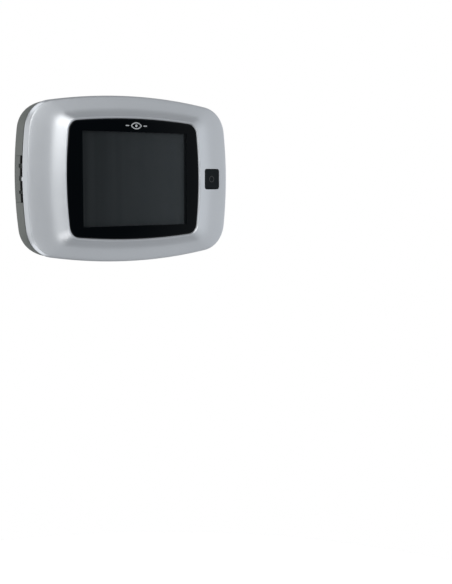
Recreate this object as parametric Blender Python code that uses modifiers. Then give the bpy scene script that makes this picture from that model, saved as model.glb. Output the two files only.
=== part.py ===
"""Door viewer: an indoor display unit on a door bracket, and an outdoor camera clamped through the door.

Frame: the origin is where the camera's axis meets the door's inner face. +Y runs outdoors through the
door, +Z up, +X to the right for someone facing the display. Depths "d" are measured back from the front
of the display glass. Sizes below are millimetres, and mm() turns them into metres.
"""

import math

import bmesh
import bpy
from mathutils import Matrix, Vector

# Whole unit
DOOR_THICKNESS = 40.0
UNIT_DEPTH = 14.6
REAR_GAP = 2.8  # door face to the back of the display unit
GLASS_Y = -(REAR_GAP + UNIT_DEPTH)
GAP = 0.3  # between neighbouring pieces
OVERLAP = 0.5  # how far joined shapes run into each other
OVERCUT = 1.0  # how far a cutter runs past what it cuts
SHARP_ANGLE = 35.0  # degrees; flatter edges are shaded smooth

# Bulged outlines: half width, half height, top radius, side radius, corner radius
BODY = (56.85, 38.2, 281.0, 177.0, 14.0)
GLASS = (36.9, 27.6, 317.0, 178.0, 5.0)

# Front bezel
PARTING_D = 4.3  # its rear edge
BEZEL_WALL = 1.8
LEDGE_D = 1.8  # front of the ledge behind the glass
LEDGE_UNDER_D = 3.0
LEDGE_INSET = 1.9  # its opening, inside the glass outline
LEDGE_OUTSET = 2.0  # its flat underside, outside the glass outline
UNDERSIDE_BEND = (0.47, 3.05)  # share of the way to the crest, and depth
CREST_OUTSET = 1.0  # the highest line, outside the glass outline
CORNER_SETTLES = 0.8  # share by which the corners are as tight as the crest's
# Share of the way from the body outline to the crest, and depth
BEZEL_FACE = (
    (0.0, PARTING_D), (0.004, 3.7), (0.03, 2.9), (0.055, 2.2), (0.068, 2.04), (0.14, 1.9), (0.32, 1.64),
    (0.53, 1.35), (0.64, 1.15), (0.74, 0.85), (0.84, 0.42), (0.925, 0.0), (0.98, -0.31), (1.0, -0.4),
)
BEZEL_LIP = ((0.75, -0.35), (0.5, -0.18), (GAP, 0.0))  # outset from the glass, and depth
UNDERSIDE = ((4.0, 3.2), (BEZEL_WALL, 3.5), (BEZEL_WALL, PARTING_D))  # inset from the body, depth
RIM_TAB = (1.4, 1.2, 1.8)  # the tongue in the side slit: into the wall, back, high
RIM_TAB_INSET = 0.1
RIM_TAB_ROOT = 0.8  # how far forward it starts
BEZEL_POST_D = 2.5
BEZEL_POST_HOLE_D = 3.8

# Display
GLASS_THICK = 1.5
GLASS_CHAMFER = 0.25
LCD_SIZE = (66.0, 2.4, 48.0)
LCD_D = GLASS_THICK + GAP
HOLDER_SIZE = (74.0, 3.5, 54.0)
HOLDER_D = LEDGE_UNDER_D + GAP
HOLDER_WINDOW = (60.0, 42.0)
LCD_FLEX_SIZE = (14.0, 0.4, 7.0)
LCD_FLEX_RISE = 4.0  # its middle above the window's lower edge

# Circuit board
BOARD_INSET = 5.4
BOARD_D = 7.1
BOARD_THICK = 1.2
BOARD_BACK_D = BOARD_D + BOARD_THICK
BOARD_HOLE_R = 1.4
SHIELD_SIZE = (24.0, 1.8, 20.0)
SHIELD_X = -28.5
SHIELD_Z = -19.0
BUZZER_R = 6.0
BUZZER_THICK = 3.2
BUZZER_X = -34.0
BUZZER_Z = 20.0

# Push button
BUTTON_X = 46.05
BUTTON_HOLE = (9.9, 10.0)
BUTTON_GAP = 0.3
BUTTON_D = 1.2
BUTTON_FLANGE = (10.9, 11.4)
BUTTON_FLANGE_THICK = 0.8
BUTTON_CORNER = 0.8
BUTTON_FLANGE_D = LEDGE_UNDER_D + 0.7
BUTTON_HOLE_DEEP = 8.0
SWITCH_SIDE = 6.2
SWITCH_THICK = 1.6
PLUNGER_R = 1.6
PLUNGER_LENGTH = 1.1

# Rear housing: inset from the body outline, and depth
HOUSING_OUTSIDE = (
    (1.3, PARTING_D + GAP), (1.3, 5.2), (0.4, 5.5), (0.45, 9.0), (0.95, 12.4), (1.5, 13.9), (2.5, UNIT_DEPTH),
)
HOUSING_WALL = 1.8
BACK_WALL = 1.2
BACK_INSIDE_D = UNIT_DEPTH - BACK_WALL
FLOOR_INSET = 0.8  # how far the inside corner at the back wall is rounded in
BACK_CUTTER_D = BACK_INSIDE_D - OVERCUT
BACK_CUTTER_DEEP = 4.0
BOSS_X = 44.0
BOSS_Z = 28.0
BOSS_R = 2.6
BEZEL_BOSS_R = 2.3
SCREW_R = 0.9
SCREW_HEAD_R = 1.8
SCREW_HEAD_THICK = 1.1
SCREW_SUNK = 0.4
SCREW_HEAD_D = UNIT_DEPTH - SCREW_HEAD_THICK - SCREW_SUNK
SCREW_PILOT_R = SCREW_R + 0.1
SCREW_CLEAR_R = SCREW_R + 0.2
SCREW_LENGTH = 9.0
CABLE_WINDOW = (15.0, 20.0)
CABLE_WINDOW_Z = -3.0

# Side ports, on the left wall behind a hinged cover
PORT_HALF_HEIGHT = 10.3
PORT_BACK_D = 12.3
COVER_FRONT_D = 6.4
COVER_THICK = 1.3
SIDE_CUTTER = (-BODY[0] - 2.0, -BODY[0] + 6.0)  # x of its two ends
NAIL_NOTCH = (1.6, 3.0)  # back from the cover's front edge, high
SOCKET_FACE_X = -53.6
USB_SIZE = (5.6, 2.7, 7.6)
USB_MOUTH = (4.4, 1.9, 6.9)
USB_Z = -5.6
USB_TONGUE = (0.8, 0.6, 4.4)  # back from the mouth, thick, high
CARD_SIZE = (14.0, 1.9, 12.0)
CARD_MOUTH = (12.5, 1.0, 11.2)
CARD_Z = 4.6

# Battery
BATTERY_SIZE = (30.0, 4.4, 40.0)
BATTERY_X = 32.5
BATTERY_Z = 1.6
BATTERY_EDGE = 0.8
LID_SIZE = (32.0, BACK_WALL, 44.0)
LID_Z = 0.6
LID_TAB = (5.0, 1.0)  # wide, and long below the lid
LID_TAB_THICK = 0.6
LID_TAB_LAP = 2.0  # how far it lies on the lid
LID_TAB_ROOT = 0.4
LID_TAB_X = 9.0
CONTACT_BLOCK_SIZE = (12.0, 3.4, 2.4)
CONTACT_PITCH = 3.4
CONTACT_SIZE = (1.2, 2.2, 1.4)
CONTACT_SETBACK = 0.6

# Door bracket and its hooks
BRACKET_SIZE = (30.0, 1.0, 58.0)
BRACKET_CORNER = 3.0
BRACKET_HOLE_R = 7.5
BRACKET_SCREW_R = 1.7
BRACKET_SCREW_Z = 25.5
LIFT = 6.0  # how far the unit lifts to come off
HOOK_X = 9.5
HOOK_TOPS = (24.0, -16.0)
HOOK_WIDTH = 4.0
HOOK_THICK = 1.2
HOOK_LIP = 4.5
HOOK_SLOT_WIDTH = 5.0
HOOK_LAP = 0.2

# Clamp sleeve, barrel and outdoor camera, all turned round the Y axis
SLEEVE_FLANGE_R = 11.0
SLEEVE_FLANGE_FRONT = -2.3
SLEEVE_FLANGE_BACK = -1.3
SLEEVE_R = 7.0
SLEEVE_BORE_R = 6.25
SLEEVE_END = 28.0
SPANNER_NOTCH = (2.4, 1.6)
SPANNER_NOTCH_DEEPER = 0.15  # its floor behind the flange, so that the notch is open
BARREL_R = 6.0
BARREL_BORE_R = 4.6
BARREL_START = 2.0
GASKET_THICK = 0.8
GASKET_R = 12.6
HEAD_R = 14.0
HEAD_RIM = 1.6
HEAD_FRONT_R = 9.6
HEAD_THICK = 7.4
HEAD_BORE_R = 6.3
HEAD_ROOM_R = 7.4
HEAD_SHELF = 1.0
HEAD_EDGE = 0.3
HEAD_SLOPE = (1.2, 1.4)  # in from the rim, and forward of it
BARREL_END = DOOR_THICKNESS + 3.2
MODULE_SIDE = 8.6
MODULE_THICK = 1.4
LENS_R = 3.6
LENS_THICK = 1.3
WINDOW_R = 7.0
WINDOW_THICK = 0.8
TRIM_R = 9.2
TRIM_BORE_R = 5.6
TRIM_THICK = 1.0
TRIM_CROWN = 0.3
TRIM_DIP = 0.1
MODULE_GAP = 0.1

# Camera ribbon
RIBBON_WIDTH = 6.0
RIBBON_THICK = 0.4
RIBBON_END = 0.6  # short of the barrel's end
CONNECTOR_SIZE = (9.0, 2.4, 4.6)
CONNECTOR_SLOT = (6.8, 1.0, 3.4)
CONNECTOR_Z = -10.4
CONNECTOR_TOP = CONNECTOR_Z + CONNECTOR_SIZE[2] / 2
CONNECTOR_SLOT_Y = GLASS_Y + BOARD_BACK_D + GAP + CONNECTOR_SIZE[1] / 2
RIBBON_BEND = (
    (-3.2, -0.5), (CONNECTOR_SLOT_Y + 1.7, -2.4),
    (CONNECTOR_SLOT_Y + 0.3, -4.6), (CONNECTOR_SLOT_Y, CONNECTOR_TOP - 2.6),
)

ARC_STEPS_LONG = 5
ARC_STEPS_CORNER = 5
ROUND_STEPS = 40
ROD_STEPS = 20
FINE_ROD_STEPS = 32
MERGE = 0.000001  # metres

parts = None
cutters = None


def mm(value):
    return value * 0.001


def at(d):
    """The Y of a depth behind the glass front."""
    return GLASS_Y + d


# Scene and materials


def clear_scene():
    for obj in list(bpy.data.objects):
        bpy.data.objects.remove(obj, do_unlink=True)
    for collection in list(bpy.data.collections):
        bpy.data.collections.remove(collection)


def add_collection(name, hidden):
    collection = bpy.data.collections.new(name)
    collection.hide_render = hidden
    bpy.context.scene.collection.children.link(collection)
    return collection


def material(name, colour, roughness, metallic=0.0, alpha=1.0):
    made = bpy.data.materials.get(name)
    if made:
        return made
    made = bpy.data.materials.new(name)
    made.use_nodes = True
    shader = made.node_tree.nodes["Principled BSDF"]
    shader.inputs["Base Color"].default_value = (*colour, 1.0)
    shader.inputs["Roughness"].default_value = roughness
    shader.inputs["Metallic"].default_value = metallic
    shader.inputs["Alpha"].default_value = alpha
    made.diffuse_color = (*colour, alpha)
    return made


def silver_lacquer():
    return material("silver_lacquer", (0.42, 0.44, 0.47), 0.3, 0.55)


def grey_plastic():
    return material("grey_plastic", (0.12, 0.13, 0.13), 0.5)


def black_plastic():
    return material("black_plastic", (0.02, 0.022, 0.025), 0.45)


def black_glass():
    return material("black_glass", (0.004, 0.006, 0.009), 0.08)


def board_green():
    return material("board_green", (0.02, 0.12, 0.06), 0.5)


def steel():
    return material("steel", (0.5, 0.5, 0.51), 0.35, 1.0)


def gold():
    return material("gold", (0.75, 0.55, 0.22), 0.3, 1.0)


def satin_chrome():
    return material("satin_chrome", (0.55, 0.55, 0.56), 0.28, 1.0)


def black_rubber():
    return material("black_rubber", (0.02, 0.02, 0.02), 0.8)


def lens_glass():
    return material("lens_glass", (0.02, 0.03, 0.05), 0.05, 0.0, 0.6)


# Objects


def new_object(name, mesh, finish, origin=(0.0, 0.0, 0.0)):
    """An object of a mesh whose points are world millimetres, with its origin moved to a world point."""
    shift = Matrix.Translation(-Vector(origin))
    mesh.transform(Matrix.Scale(0.001, 4) @ shift)
    obj = bpy.data.objects.new(name, mesh)
    obj.location = Vector(origin) * 0.001
    (cutters if finish is None else parts).objects.link(obj)
    if finish is None:
        obj.hide_render = True
        obj.display_type = "WIRE"
    else:
        mesh.materials.append(finish)
    return obj


def smooth(obj):
    obj.data.shade_smooth()
    obj.data.set_sharp_from_angle(angle=math.radians(SHARP_ANGLE))
    return obj


def bevel(obj, width, segments=1):
    modifier = obj.modifiers.new("edges", "BEVEL")
    modifier.width = mm(width)
    modifier.segments = segments
    modifier.limit_method = "ANGLE"
    return obj


def boolean(obj, operation, *others):
    for other in others:
        modifier = obj.modifiers.new(f"{operation.lower()}_{other.name}", "BOOLEAN")
        modifier.operation = operation
        modifier.object = other
    return obj


def cut(obj, *others):
    return boolean(obj, "DIFFERENCE", *others)


def join(obj, *others):
    return boolean(obj, "UNION", *others)


def box(name, low, high, finish=None, origin=(0.0, 0.0, 0.0)):
    """A box between two corners."""
    low = Vector(low)
    high = Vector(high)
    mesh = bpy.data.meshes.new(name)
    shape = bmesh.new()
    bmesh.ops.create_cube(shape, size=1.0)
    size = high - low
    bmesh.ops.scale(shape, vec=size, verts=shape.verts)
    bmesh.ops.translate(shape, vec=(low + high) / 2, verts=shape.verts)
    shape.to_mesh(mesh)
    shape.free()
    return new_object(name, mesh, finish, origin)


def block(name, centre_x, centre_z, front_d, size, finish=None, origin=(0.0, 0.0, 0.0)):
    """A box of a width, depth and height, by its centre from the front and the depth of its front."""
    half_x, half_z = size[0] / 2, size[2] / 2
    low = (centre_x - half_x, at(front_d), centre_z - half_z)
    high = (centre_x + half_x, at(front_d + size[1]), centre_z + half_z)
    return box(name, low, high, finish, origin)


def rod(name, x, z, start_y, end_y, radius, finish=None, steps=ROD_STEPS, origin=(0.0, 0.0, 0.0)):
    """A cylinder along Y."""
    mesh = bpy.data.meshes.new(name)
    shape = bmesh.new()
    turn = Matrix.Rotation(math.radians(-90), 4, "X")
    place = Matrix.Translation((x, (start_y + end_y) / 2, z))
    bmesh.ops.create_cone(
        shape, cap_ends=True, segments=steps, radius1=radius, radius2=radius,
        depth=end_y - start_y, matrix=place @ turn,
    )
    shape.to_mesh(mesh)
    shape.free()
    return new_object(name, mesh, finish, origin)


def turned(name, profile, finish, steps=ROUND_STEPS):
    """A closed (radius, y) profile turned round the Y axis, listed outer side first, in +Y order."""
    mesh = bpy.data.meshes.new(name)
    points = [(radius, y, 0.0) for radius, y in reversed(profile)]
    edges = [(i, (i + 1) % len(points)) for i in range(len(points))]
    mesh.from_pydata(points, edges, [])
    obj = new_object(name, mesh, finish)
    screw = obj.modifiers.new("turn", "SCREW")
    screw.axis = "Y"
    screw.steps = steps
    screw.render_steps = steps
    screw.use_merge_vertices = True
    screw.merge_threshold = MERGE
    return obj


# Outlines and lofts


def arc(centre, radius, start, end, steps):
    """Points on an arc, without its last one."""
    angles = [start + (end - start) * i / steps for i in range(steps)]
    return [(centre[0] + radius * math.cos(a), centre[1] + radius * math.sin(a)) for a in angles]


def bulged_outline(shape, inset=0.0):
    """A rectangle with bulged sides and round corners, moved in by an inset, as (x, z) points."""
    half_w, half_h, r_top, r_side, r_corner = (value - inset for value in shape)
    top = Vector((0.0, half_h - r_top))
    side = Vector((half_w - r_side, 0.0))
    reach_top = r_top - r_corner
    reach_side = r_side - r_corner
    between = side - top
    along = (reach_top**2 - reach_side**2 + between.length**2) / (2 * between.length)
    across = math.sqrt(reach_top**2 - along**2)
    unit = between.normalized()
    corner = top + unit * along + Vector((unit.y, -unit.x)) * across
    turn_top = math.atan2(corner.y - top.y, corner.x - top.x)
    turn_side = math.atan2(corner.y - side.y, corner.x - side.x)
    quarter = arc(side, r_side, 0.0, turn_side, ARC_STEPS_LONG)
    quarter += arc(corner, r_corner, turn_side, turn_top, ARC_STEPS_CORNER)
    quarter += arc(top, r_top, turn_top, math.pi / 2, ARC_STEPS_LONG)
    quarter.append((0.0, half_h))
    upper = quarter + [(-x, z) for x, z in quarter[-2::-1]]
    return upper + [(x, -z) for x, z in upper[-2:0:-1]]


def face_outline(share):
    """The outline part of the way from the body's to the crest's. Its corners tighten first."""
    crest = [value + CREST_OUTSET for value in GLASS]
    shape = [start + (end - start) * share for start, end in zip(BODY, crest)]
    shape[-1] = BODY[-1] + (crest[-1] - BODY[-1]) * min(1.0, share / CORNER_SETTLES)
    return bulged_outline(shape)


def ring(outline, d):
    return [Vector((x, at(d), z)) for x, z in outline]


def loft(name, rings, finish=None, closed=False, origin=(0.0, 0.0, 0.0)):
    """Skins the rings in order. Its ends are capped, or joined to each other when closed."""
    shape = bmesh.new()
    rows = [[shape.verts.new(point) for point in points] for points in rings]
    count = len(rows[0])
    pairs = list(zip(rows, rows[1:]))
    if closed:
        pairs.append((rows[-1], rows[0]))
    else:
        shape.faces.new(rows[0])
        shape.faces.new(reversed(rows[-1]))
    for row, following in pairs:
        for i in range(count):
            j = (i + 1) % count
            shape.faces.new((row[j], row[i], following[i], following[j]))
    bmesh.ops.recalc_face_normals(shape, faces=shape.faces)
    mesh = bpy.data.meshes.new(name)
    shape.to_mesh(mesh)
    shape.free()
    return new_object(name, mesh, finish, origin)


def slab(name, shape, front_d, thick, inset=0.0, finish=None):
    outline = bulged_outline(shape, inset)
    return loft(name, [ring(outline, front_d), ring(outline, front_d + thick)], finish)


def screw_places():
    """The four screw places, with the number of each."""
    corners = ((-1, 1), (1, 1), (-1, -1), (1, -1))
    return [(i + 1, BOSS_X * sx, BOSS_Z * sz) for i, (sx, sz) in enumerate(corners)]


# Display unit, front to back


def add_bezel():
    pocket = bulged_outline(GLASS, -GAP)
    window = bulged_outline(GLASS, LEDGE_INSET)
    bend_share, bend_d = UNDERSIDE_BEND
    rings = [ring(face_outline(share), d) for share, d in BEZEL_FACE]
    rings += [ring(bulged_outline(GLASS, -outset), d) for outset, d in BEZEL_LIP]
    rings.append(ring(pocket, LEDGE_D))
    rings += [ring(window, LEDGE_D), ring(window, LEDGE_UNDER_D)]
    rings.append(ring(bulged_outline(GLASS, -LEDGE_OUTSET), LEDGE_UNDER_D))
    rings.append(ring(face_outline(bend_share), bend_d))
    rings += [ring(bulged_outline(BODY, inset), d) for inset, d in UNDERSIDE]
    bezel = loft("front_bezel", rings, silver_lacquer(), closed=True)
    for number, x, z in screw_places():
        post = rod(f"bezel_post_{number}", x, z, at(BEZEL_POST_D), at(BOARD_D - GAP), BEZEL_BOSS_R)
        name = f"bezel_post_hole_{number}"
        hole = rod(name, x, z, at(BEZEL_POST_HOLE_D), at(BOARD_D), SCREW_PILOT_R)
        join(bezel, post)
        cut(bezel, hole)
    cut(bezel, lcd_room("ledge_relief"))
    wide, high = BUTTON_HOLE
    hole = block("button_hole", BUTTON_X, 0.0, -OVERCUT, (wide, BUTTON_HOLE_DEEP, high))
    round_upright_edges(hole)
    cut(bezel, hole)
    into, back, tall = RIM_TAB
    left = -BODY[0] + RIM_TAB_INSET
    low = (left, at(PARTING_D - RIM_TAB_ROOT), -tall / 2)
    join(bezel, box("rim_tab", low, (left + into, at(PARTING_D + back), tall / 2)))
    return smooth(bezel)


def round_upright_edges(obj, radius=BUTTON_CORNER):
    """Rounds the four edges of a box that run along Y."""
    shape = bmesh.new()
    shape.from_mesh(obj.data)
    runs_back = [e for e in shape.edges if abs(e.verts[0].co.y - e.verts[1].co.y) > MERGE]
    bmesh.ops.bevel(
        shape, geom=runs_back, offset=mm(radius), segments=3, profile=0.5, affect="EDGES",
    )
    shape.to_mesh(obj.data)
    shape.free()


def lcd_room(name):
    """A cutter for the panel and its gap, which starts in front of it."""
    width, thick, height = LCD_SIZE
    size = (width + 2 * GAP, thick + GAP + OVERCUT, height + 2 * GAP)
    return block(name, 0.0, 0.0, LCD_D - OVERCUT, size)


def add_display():
    glass = slab("display_glass", GLASS, 0.0, GLASS_THICK, finish=black_glass())
    bevel(glass, GLASS_CHAMFER)
    block("lcd_panel", 0.0, 0.0, LCD_D, LCD_SIZE, black_glass())
    holder = block("lcd_holder", 0.0, 0.0, HOLDER_D, HOLDER_SIZE, black_plastic())
    opening_wide, opening_high = HOLDER_WINDOW
    opening_size = (opening_wide, HOLDER_SIZE[1] + OVERCUT, opening_high)
    opening = block("holder_opening", 0.0, 0.0, HOLDER_D, opening_size)
    cut(holder, lcd_room("holder_pocket"), opening)
    flex_z = LCD_FLEX_RISE - opening_high / 2
    block("lcd_flex", 0.0, flex_z, LCD_D + LCD_SIZE[1] + GAP, LCD_FLEX_SIZE, gold())


def add_board():
    board = slab("circuit_board", BODY, BOARD_D, BOARD_THICK, BOARD_INSET, board_green())
    front, end = at(BOARD_D - OVERCUT), at(BOARD_BACK_D + OVERCUT)
    for number, x, z in screw_places():
        cut(board, rod(f"board_hole_{number}", x, z, front, end, BOARD_HOLE_R))
    back = BOARD_BACK_D + GAP
    block("shield_can", SHIELD_X, SHIELD_Z, back, SHIELD_SIZE, steel())
    buzzer_ends = (at(back), at(back + BUZZER_THICK))
    rod("buzzer", BUZZER_X, BUZZER_Z, *buzzer_ends, BUZZER_R, black_plastic(), FINE_ROD_STEPS)
    socket = block("camera_connector", 0.0, CONNECTOR_Z, back, CONNECTOR_SIZE, black_plastic())
    wide, thick, deep = CONNECTOR_SLOT
    low = (-wide / 2, CONNECTOR_SLOT_Y - thick / 2, CONNECTOR_TOP - deep)
    high = (wide / 2, CONNECTOR_SLOT_Y + thick / 2, CONNECTOR_TOP + OVERCUT)
    cut(socket, box("connector_slot", low, high))


def add_button():
    wide, high = (side - 2 * BUTTON_GAP for side in BUTTON_HOLE)
    rest = (BUTTON_X, at(BUTTON_D), 0.0)
    cap_size = (wide, BUTTON_FLANGE_D + OVERLAP - BUTTON_D, high)
    cap = block("button_cap", BUTTON_X, 0.0, BUTTON_D, cap_size, black_plastic(), rest)
    round_upright_edges(cap, BUTTON_CORNER)
    flange_size = (BUTTON_FLANGE[0], BUTTON_FLANGE_THICK, BUTTON_FLANGE[1])
    join(cap, block("button_flange", BUTTON_X, 0.0, BUTTON_FLANGE_D, flange_size))
    plunger_y = at(BUTTON_FLANGE_D + BUTTON_FLANGE_THICK + GAP)
    plunger_end = plunger_y + PLUNGER_LENGTH
    rod("switch_plunger", BUTTON_X, 0.0, plunger_y, plunger_end, PLUNGER_R, steel())
    switch_d = BOARD_D - GAP - SWITCH_THICK
    switch_size = (SWITCH_SIDE, SWITCH_THICK, SWITCH_SIDE)
    switch = block("switch_body", BUTTON_X, 0.0, switch_d, switch_size, black_plastic())
    bore_ends = (at(switch_d - OVERCUT), at(BOARD_D - 2 * GAP))
    cut(switch, rod("switch_bore", BUTTON_X, 0.0, *bore_ends, PLUNGER_R + GAP))


def housing_rings(wall):
    """The housing's outside from its back to its front edge, then its inside back to the rear wall."""
    outside = [ring(bulged_outline(BODY, inset), d) for inset, d in HOUSING_OUTSIDE]
    inside = [ring(bulged_outline(BODY, inset + wall), d) for inset, d in HOUSING_OUTSIDE[:-2]]
    floor_inset = HOUSING_OUTSIDE[-2][0] + wall + FLOOR_INSET
    floor = ring(bulged_outline(BODY, floor_inset), BACK_INSIDE_D)
    return outside[::-1] + inside + [floor]


def add_housing_bosses(housing):
    boss_d = BOARD_BACK_D + GAP
    end = at(UNIT_DEPTH + OVERCUT)
    for number, x, z in screw_places():
        boss_ends = (at(boss_d), at(BACK_INSIDE_D + OVERLAP))
        join(housing, rod(f"boss_{number}", x, z, *boss_ends, BOSS_R))
        cut(housing, rod(f"boss_hole_{number}", x, z, at(boss_d - OVERCUT), end, SCREW_CLEAR_R))
        sink_d = SCREW_HEAD_D - GAP
        cut(housing, rod(f"boss_sink_{number}", x, z, at(sink_d), end, SCREW_HEAD_R + GAP))


def add_rear_housing():
    housing = loft("rear_housing", housing_rings(HOUSING_WALL), grey_plastic())
    add_housing_bosses(housing)
    window_size = (CABLE_WINDOW[0], BACK_CUTTER_DEEP, CABLE_WINDOW[1])
    cut(housing, block("cable_window", 0.0, CABLE_WINDOW_Z, BACK_CUTTER_D, window_size))
    lid_opening = (LID_SIZE[0] + 2 * GAP, BACK_CUTTER_DEEP, LID_SIZE[2] + 2 * GAP)
    cut(housing, block("lid_opening", BATTERY_X, LID_Z, BACK_CUTTER_D, lid_opening))
    for name, x, top in hook_places():
        slot_size = (HOOK_SLOT_WIDTH, BACK_CUTTER_DEEP, LIFT + HOOK_THICK + 2 * GAP)
        slot_z = top + GAP - slot_size[2] / 2
        cut(housing, block(f"{name}_slot", x, slot_z, BACK_CUTTER_D, slot_size))
    low = (SIDE_CUTTER[0], at(PARTING_D - OVERCUT), -PORT_HALF_HEIGHT)
    cut(housing, box("port_opening", low, (SIDE_CUTTER[1], at(PORT_BACK_D), PORT_HALF_HEIGHT)))
    return smooth(housing)


def cover_axis():
    return (-BODY[0] + HOUSING_OUTSIDE[-3][0], at(PORT_BACK_D - GAP / 2), 0.0)


def add_port_cover():
    """The left wall's own curve, cut to the port opening less its gaps."""
    cover = loft("side_port_cover", housing_rings(COVER_THICK), grey_plastic(), origin=cover_axis())
    high = PORT_HALF_HEIGHT - GAP
    low = (SIDE_CUTTER[0], at(COVER_FRONT_D), -high)
    keep = box("cover_keep", low, (SIDE_CUTTER[1], at(PORT_BACK_D - GAP), high))
    boolean(cover, "INTERSECT", keep)
    back, tall = NAIL_NOTCH
    low = (SIDE_CUTTER[0], at(COVER_FRONT_D - OVERCUT), -tall / 2)
    cut(cover, box("nail_notch", low, (SIDE_CUTTER[1], at(COVER_FRONT_D + back), tall / 2)))
    return smooth(cover)


def add_socket(name, size, mouth, z):
    """A socket on the board's back, open to the left."""
    front = BOARD_BACK_D + GAP
    centre_x = SOCKET_FACE_X + size[0] / 2
    socket = block(name, centre_x, z, front, size, steel())
    deep, thick, tall = mouth
    middle = at(front + size[1] / 2)
    low = (SOCKET_FACE_X - OVERCUT, middle - thick / 2, z - tall / 2)
    high = (SOCKET_FACE_X + deep, middle + thick / 2, z + tall / 2)
    cut(socket, box(f"{name}_mouth", low, high))


def add_usb_tongue():
    setback, thick, tall = USB_TONGUE
    middle = at(BOARD_BACK_D + GAP + USB_SIZE[1] / 2)
    low = (SOCKET_FACE_X + setback, middle - thick / 2, USB_Z - tall / 2)
    high = (SOCKET_FACE_X + USB_MOUTH[0] - GAP, middle + thick / 2, USB_Z + tall / 2)
    box("usb_tongue", low, high, black_plastic())


def add_battery():
    front = BOARD_BACK_D + GAP
    battery = block("battery_pack", BATTERY_X, BATTERY_Z, front, BATTERY_SIZE, black_plastic())
    bevel(battery, BATTERY_EDGE, 2)
    below = BATTERY_Z - BATTERY_SIZE[2] / 2
    contact_z = below - GAP - CONTACT_SIZE[2] / 2
    block_z = contact_z - CONTACT_SIZE[2] / 2 - GAP - CONTACT_BLOCK_SIZE[2] / 2
    block("contact_block", BATTERY_X, block_z, front, CONTACT_BLOCK_SIZE, black_plastic())
    for number in (1, 2, 3):
        x = BATTERY_X + (number - 2) * CONTACT_PITCH
        block(f"battery_contact_{number}", x, contact_z, front + CONTACT_SETBACK, CONTACT_SIZE, gold())


def lid_axis():
    return (BATTERY_X, at(UNIT_DEPTH), LID_Z - LID_SIZE[2] / 2)


def add_battery_lid():
    axis = lid_axis()
    lid = block("battery_lid", BATTERY_X, LID_Z, BACK_INSIDE_D, LID_SIZE, grey_plastic(), axis)
    tab_wide, tab_long = LID_TAB
    bottom = axis[2]
    front, back = at(BACK_INSIDE_D - GAP - LID_TAB_THICK), at(BACK_INSIDE_D - GAP)
    for name, side in (("left", -1), ("right", 1)):
        left = BATTERY_X + side * LID_TAB_X - tab_wide / 2
        right = left + tab_wide
        top = bottom + LID_TAB_LAP
        tab = box(f"lid_tab_{name}", (left, front, bottom - tab_long), (right, back, top))
        root_high = (right, back + GAP + OVERLAP, top)
        join(lid, tab, box(f"lid_tab_root_{name}", (left, front, bottom + LID_TAB_ROOT), root_high))
    return lid


def add_housing_screws():
    shank_end = SCREW_HEAD_D + OVERLAP
    for number, x, z in screw_places():
        name = f"housing_screw_{number}"
        head_ends = (at(SCREW_HEAD_D), at(UNIT_DEPTH - SCREW_SUNK))
        screw = rod(name, x, z, *head_ends, SCREW_HEAD_R, steel())
        shank_ends = (at(shank_end - SCREW_LENGTH), at(shank_end))
        join(screw, rod(f"{name}_shank", x, z, *shank_ends, SCREW_R))


# Door side


def hook_places():
    """The name, x and stem top of each bracket hook."""
    rows = (("upper", HOOK_TOPS[0]), ("lower", HOOK_TOPS[1]))
    columns = (("left", -HOOK_X), ("right", HOOK_X))
    return [(f"hook_{row}_{column}", x, top) for row, top in rows for column, x in columns]


def add_bracket():
    wide, thick, high = BRACKET_SIZE
    low = (-wide / 2, -thick, -high / 2)
    bracket = box("door_bracket", low, (wide / 2, 0.0, high / 2), steel())
    round_upright_edges(bracket, BRACKET_CORNER)
    lip_back = at(BACK_INSIDE_D) - GAP
    lip_front = lip_back - thick
    for name, x, top in hook_places():
        left, right = x - HOOK_WIDTH / 2, x + HOOK_WIDTH / 2
        bottom = top - HOOK_THICK
        stem = box(f"{name}_stem", (left, lip_front + HOOK_LAP, bottom), (right, -thick / 2, top))
        lip = box(f"{name}_lip", (left, lip_front, bottom), (right, lip_back, top + HOOK_LIP))
        join(bracket, stem, lip)
    ends = (-thick - OVERCUT, OVERCUT)
    cut(bracket, rod("bracket_hole", 0.0, 0.0, *ends, BRACKET_HOLE_R, steps=ROUND_STEPS))
    for name, z in (("top", BRACKET_SCREW_Z), ("bottom", -BRACKET_SCREW_Z)):
        cut(bracket, rod(f"bracket_screw_hole_{name}", 0.0, z, *ends, BRACKET_SCREW_R))
    return bracket


def add_clamp_sleeve():
    profile = [
        (SLEEVE_FLANGE_R, SLEEVE_FLANGE_FRONT), (SLEEVE_FLANGE_R, SLEEVE_FLANGE_BACK),
        (SLEEVE_R, SLEEVE_FLANGE_BACK), (SLEEVE_R, SLEEVE_END),
        (SLEEVE_BORE_R, SLEEVE_END), (SLEEVE_BORE_R, SLEEVE_FLANGE_FRONT),
    ]
    sleeve = turned("clamp_sleeve", profile, steel())
    wide, deep = SPANNER_NOTCH
    notch_back = SLEEVE_FLANGE_BACK + SPANNER_NOTCH_DEEPER
    for name, side in (("left", -1), ("right", 1)):
        edges = sorted((side * (SLEEVE_FLANGE_R - deep), side * (SLEEVE_FLANGE_R + OVERCUT)))
        low = (edges[0], SLEEVE_FLANGE_FRONT - OVERCUT, -wide / 2)
        cut(sleeve, box(f"spanner_notch_{name}", low, (edges[1], notch_back, wide / 2)))
    return smooth(sleeve)


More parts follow.
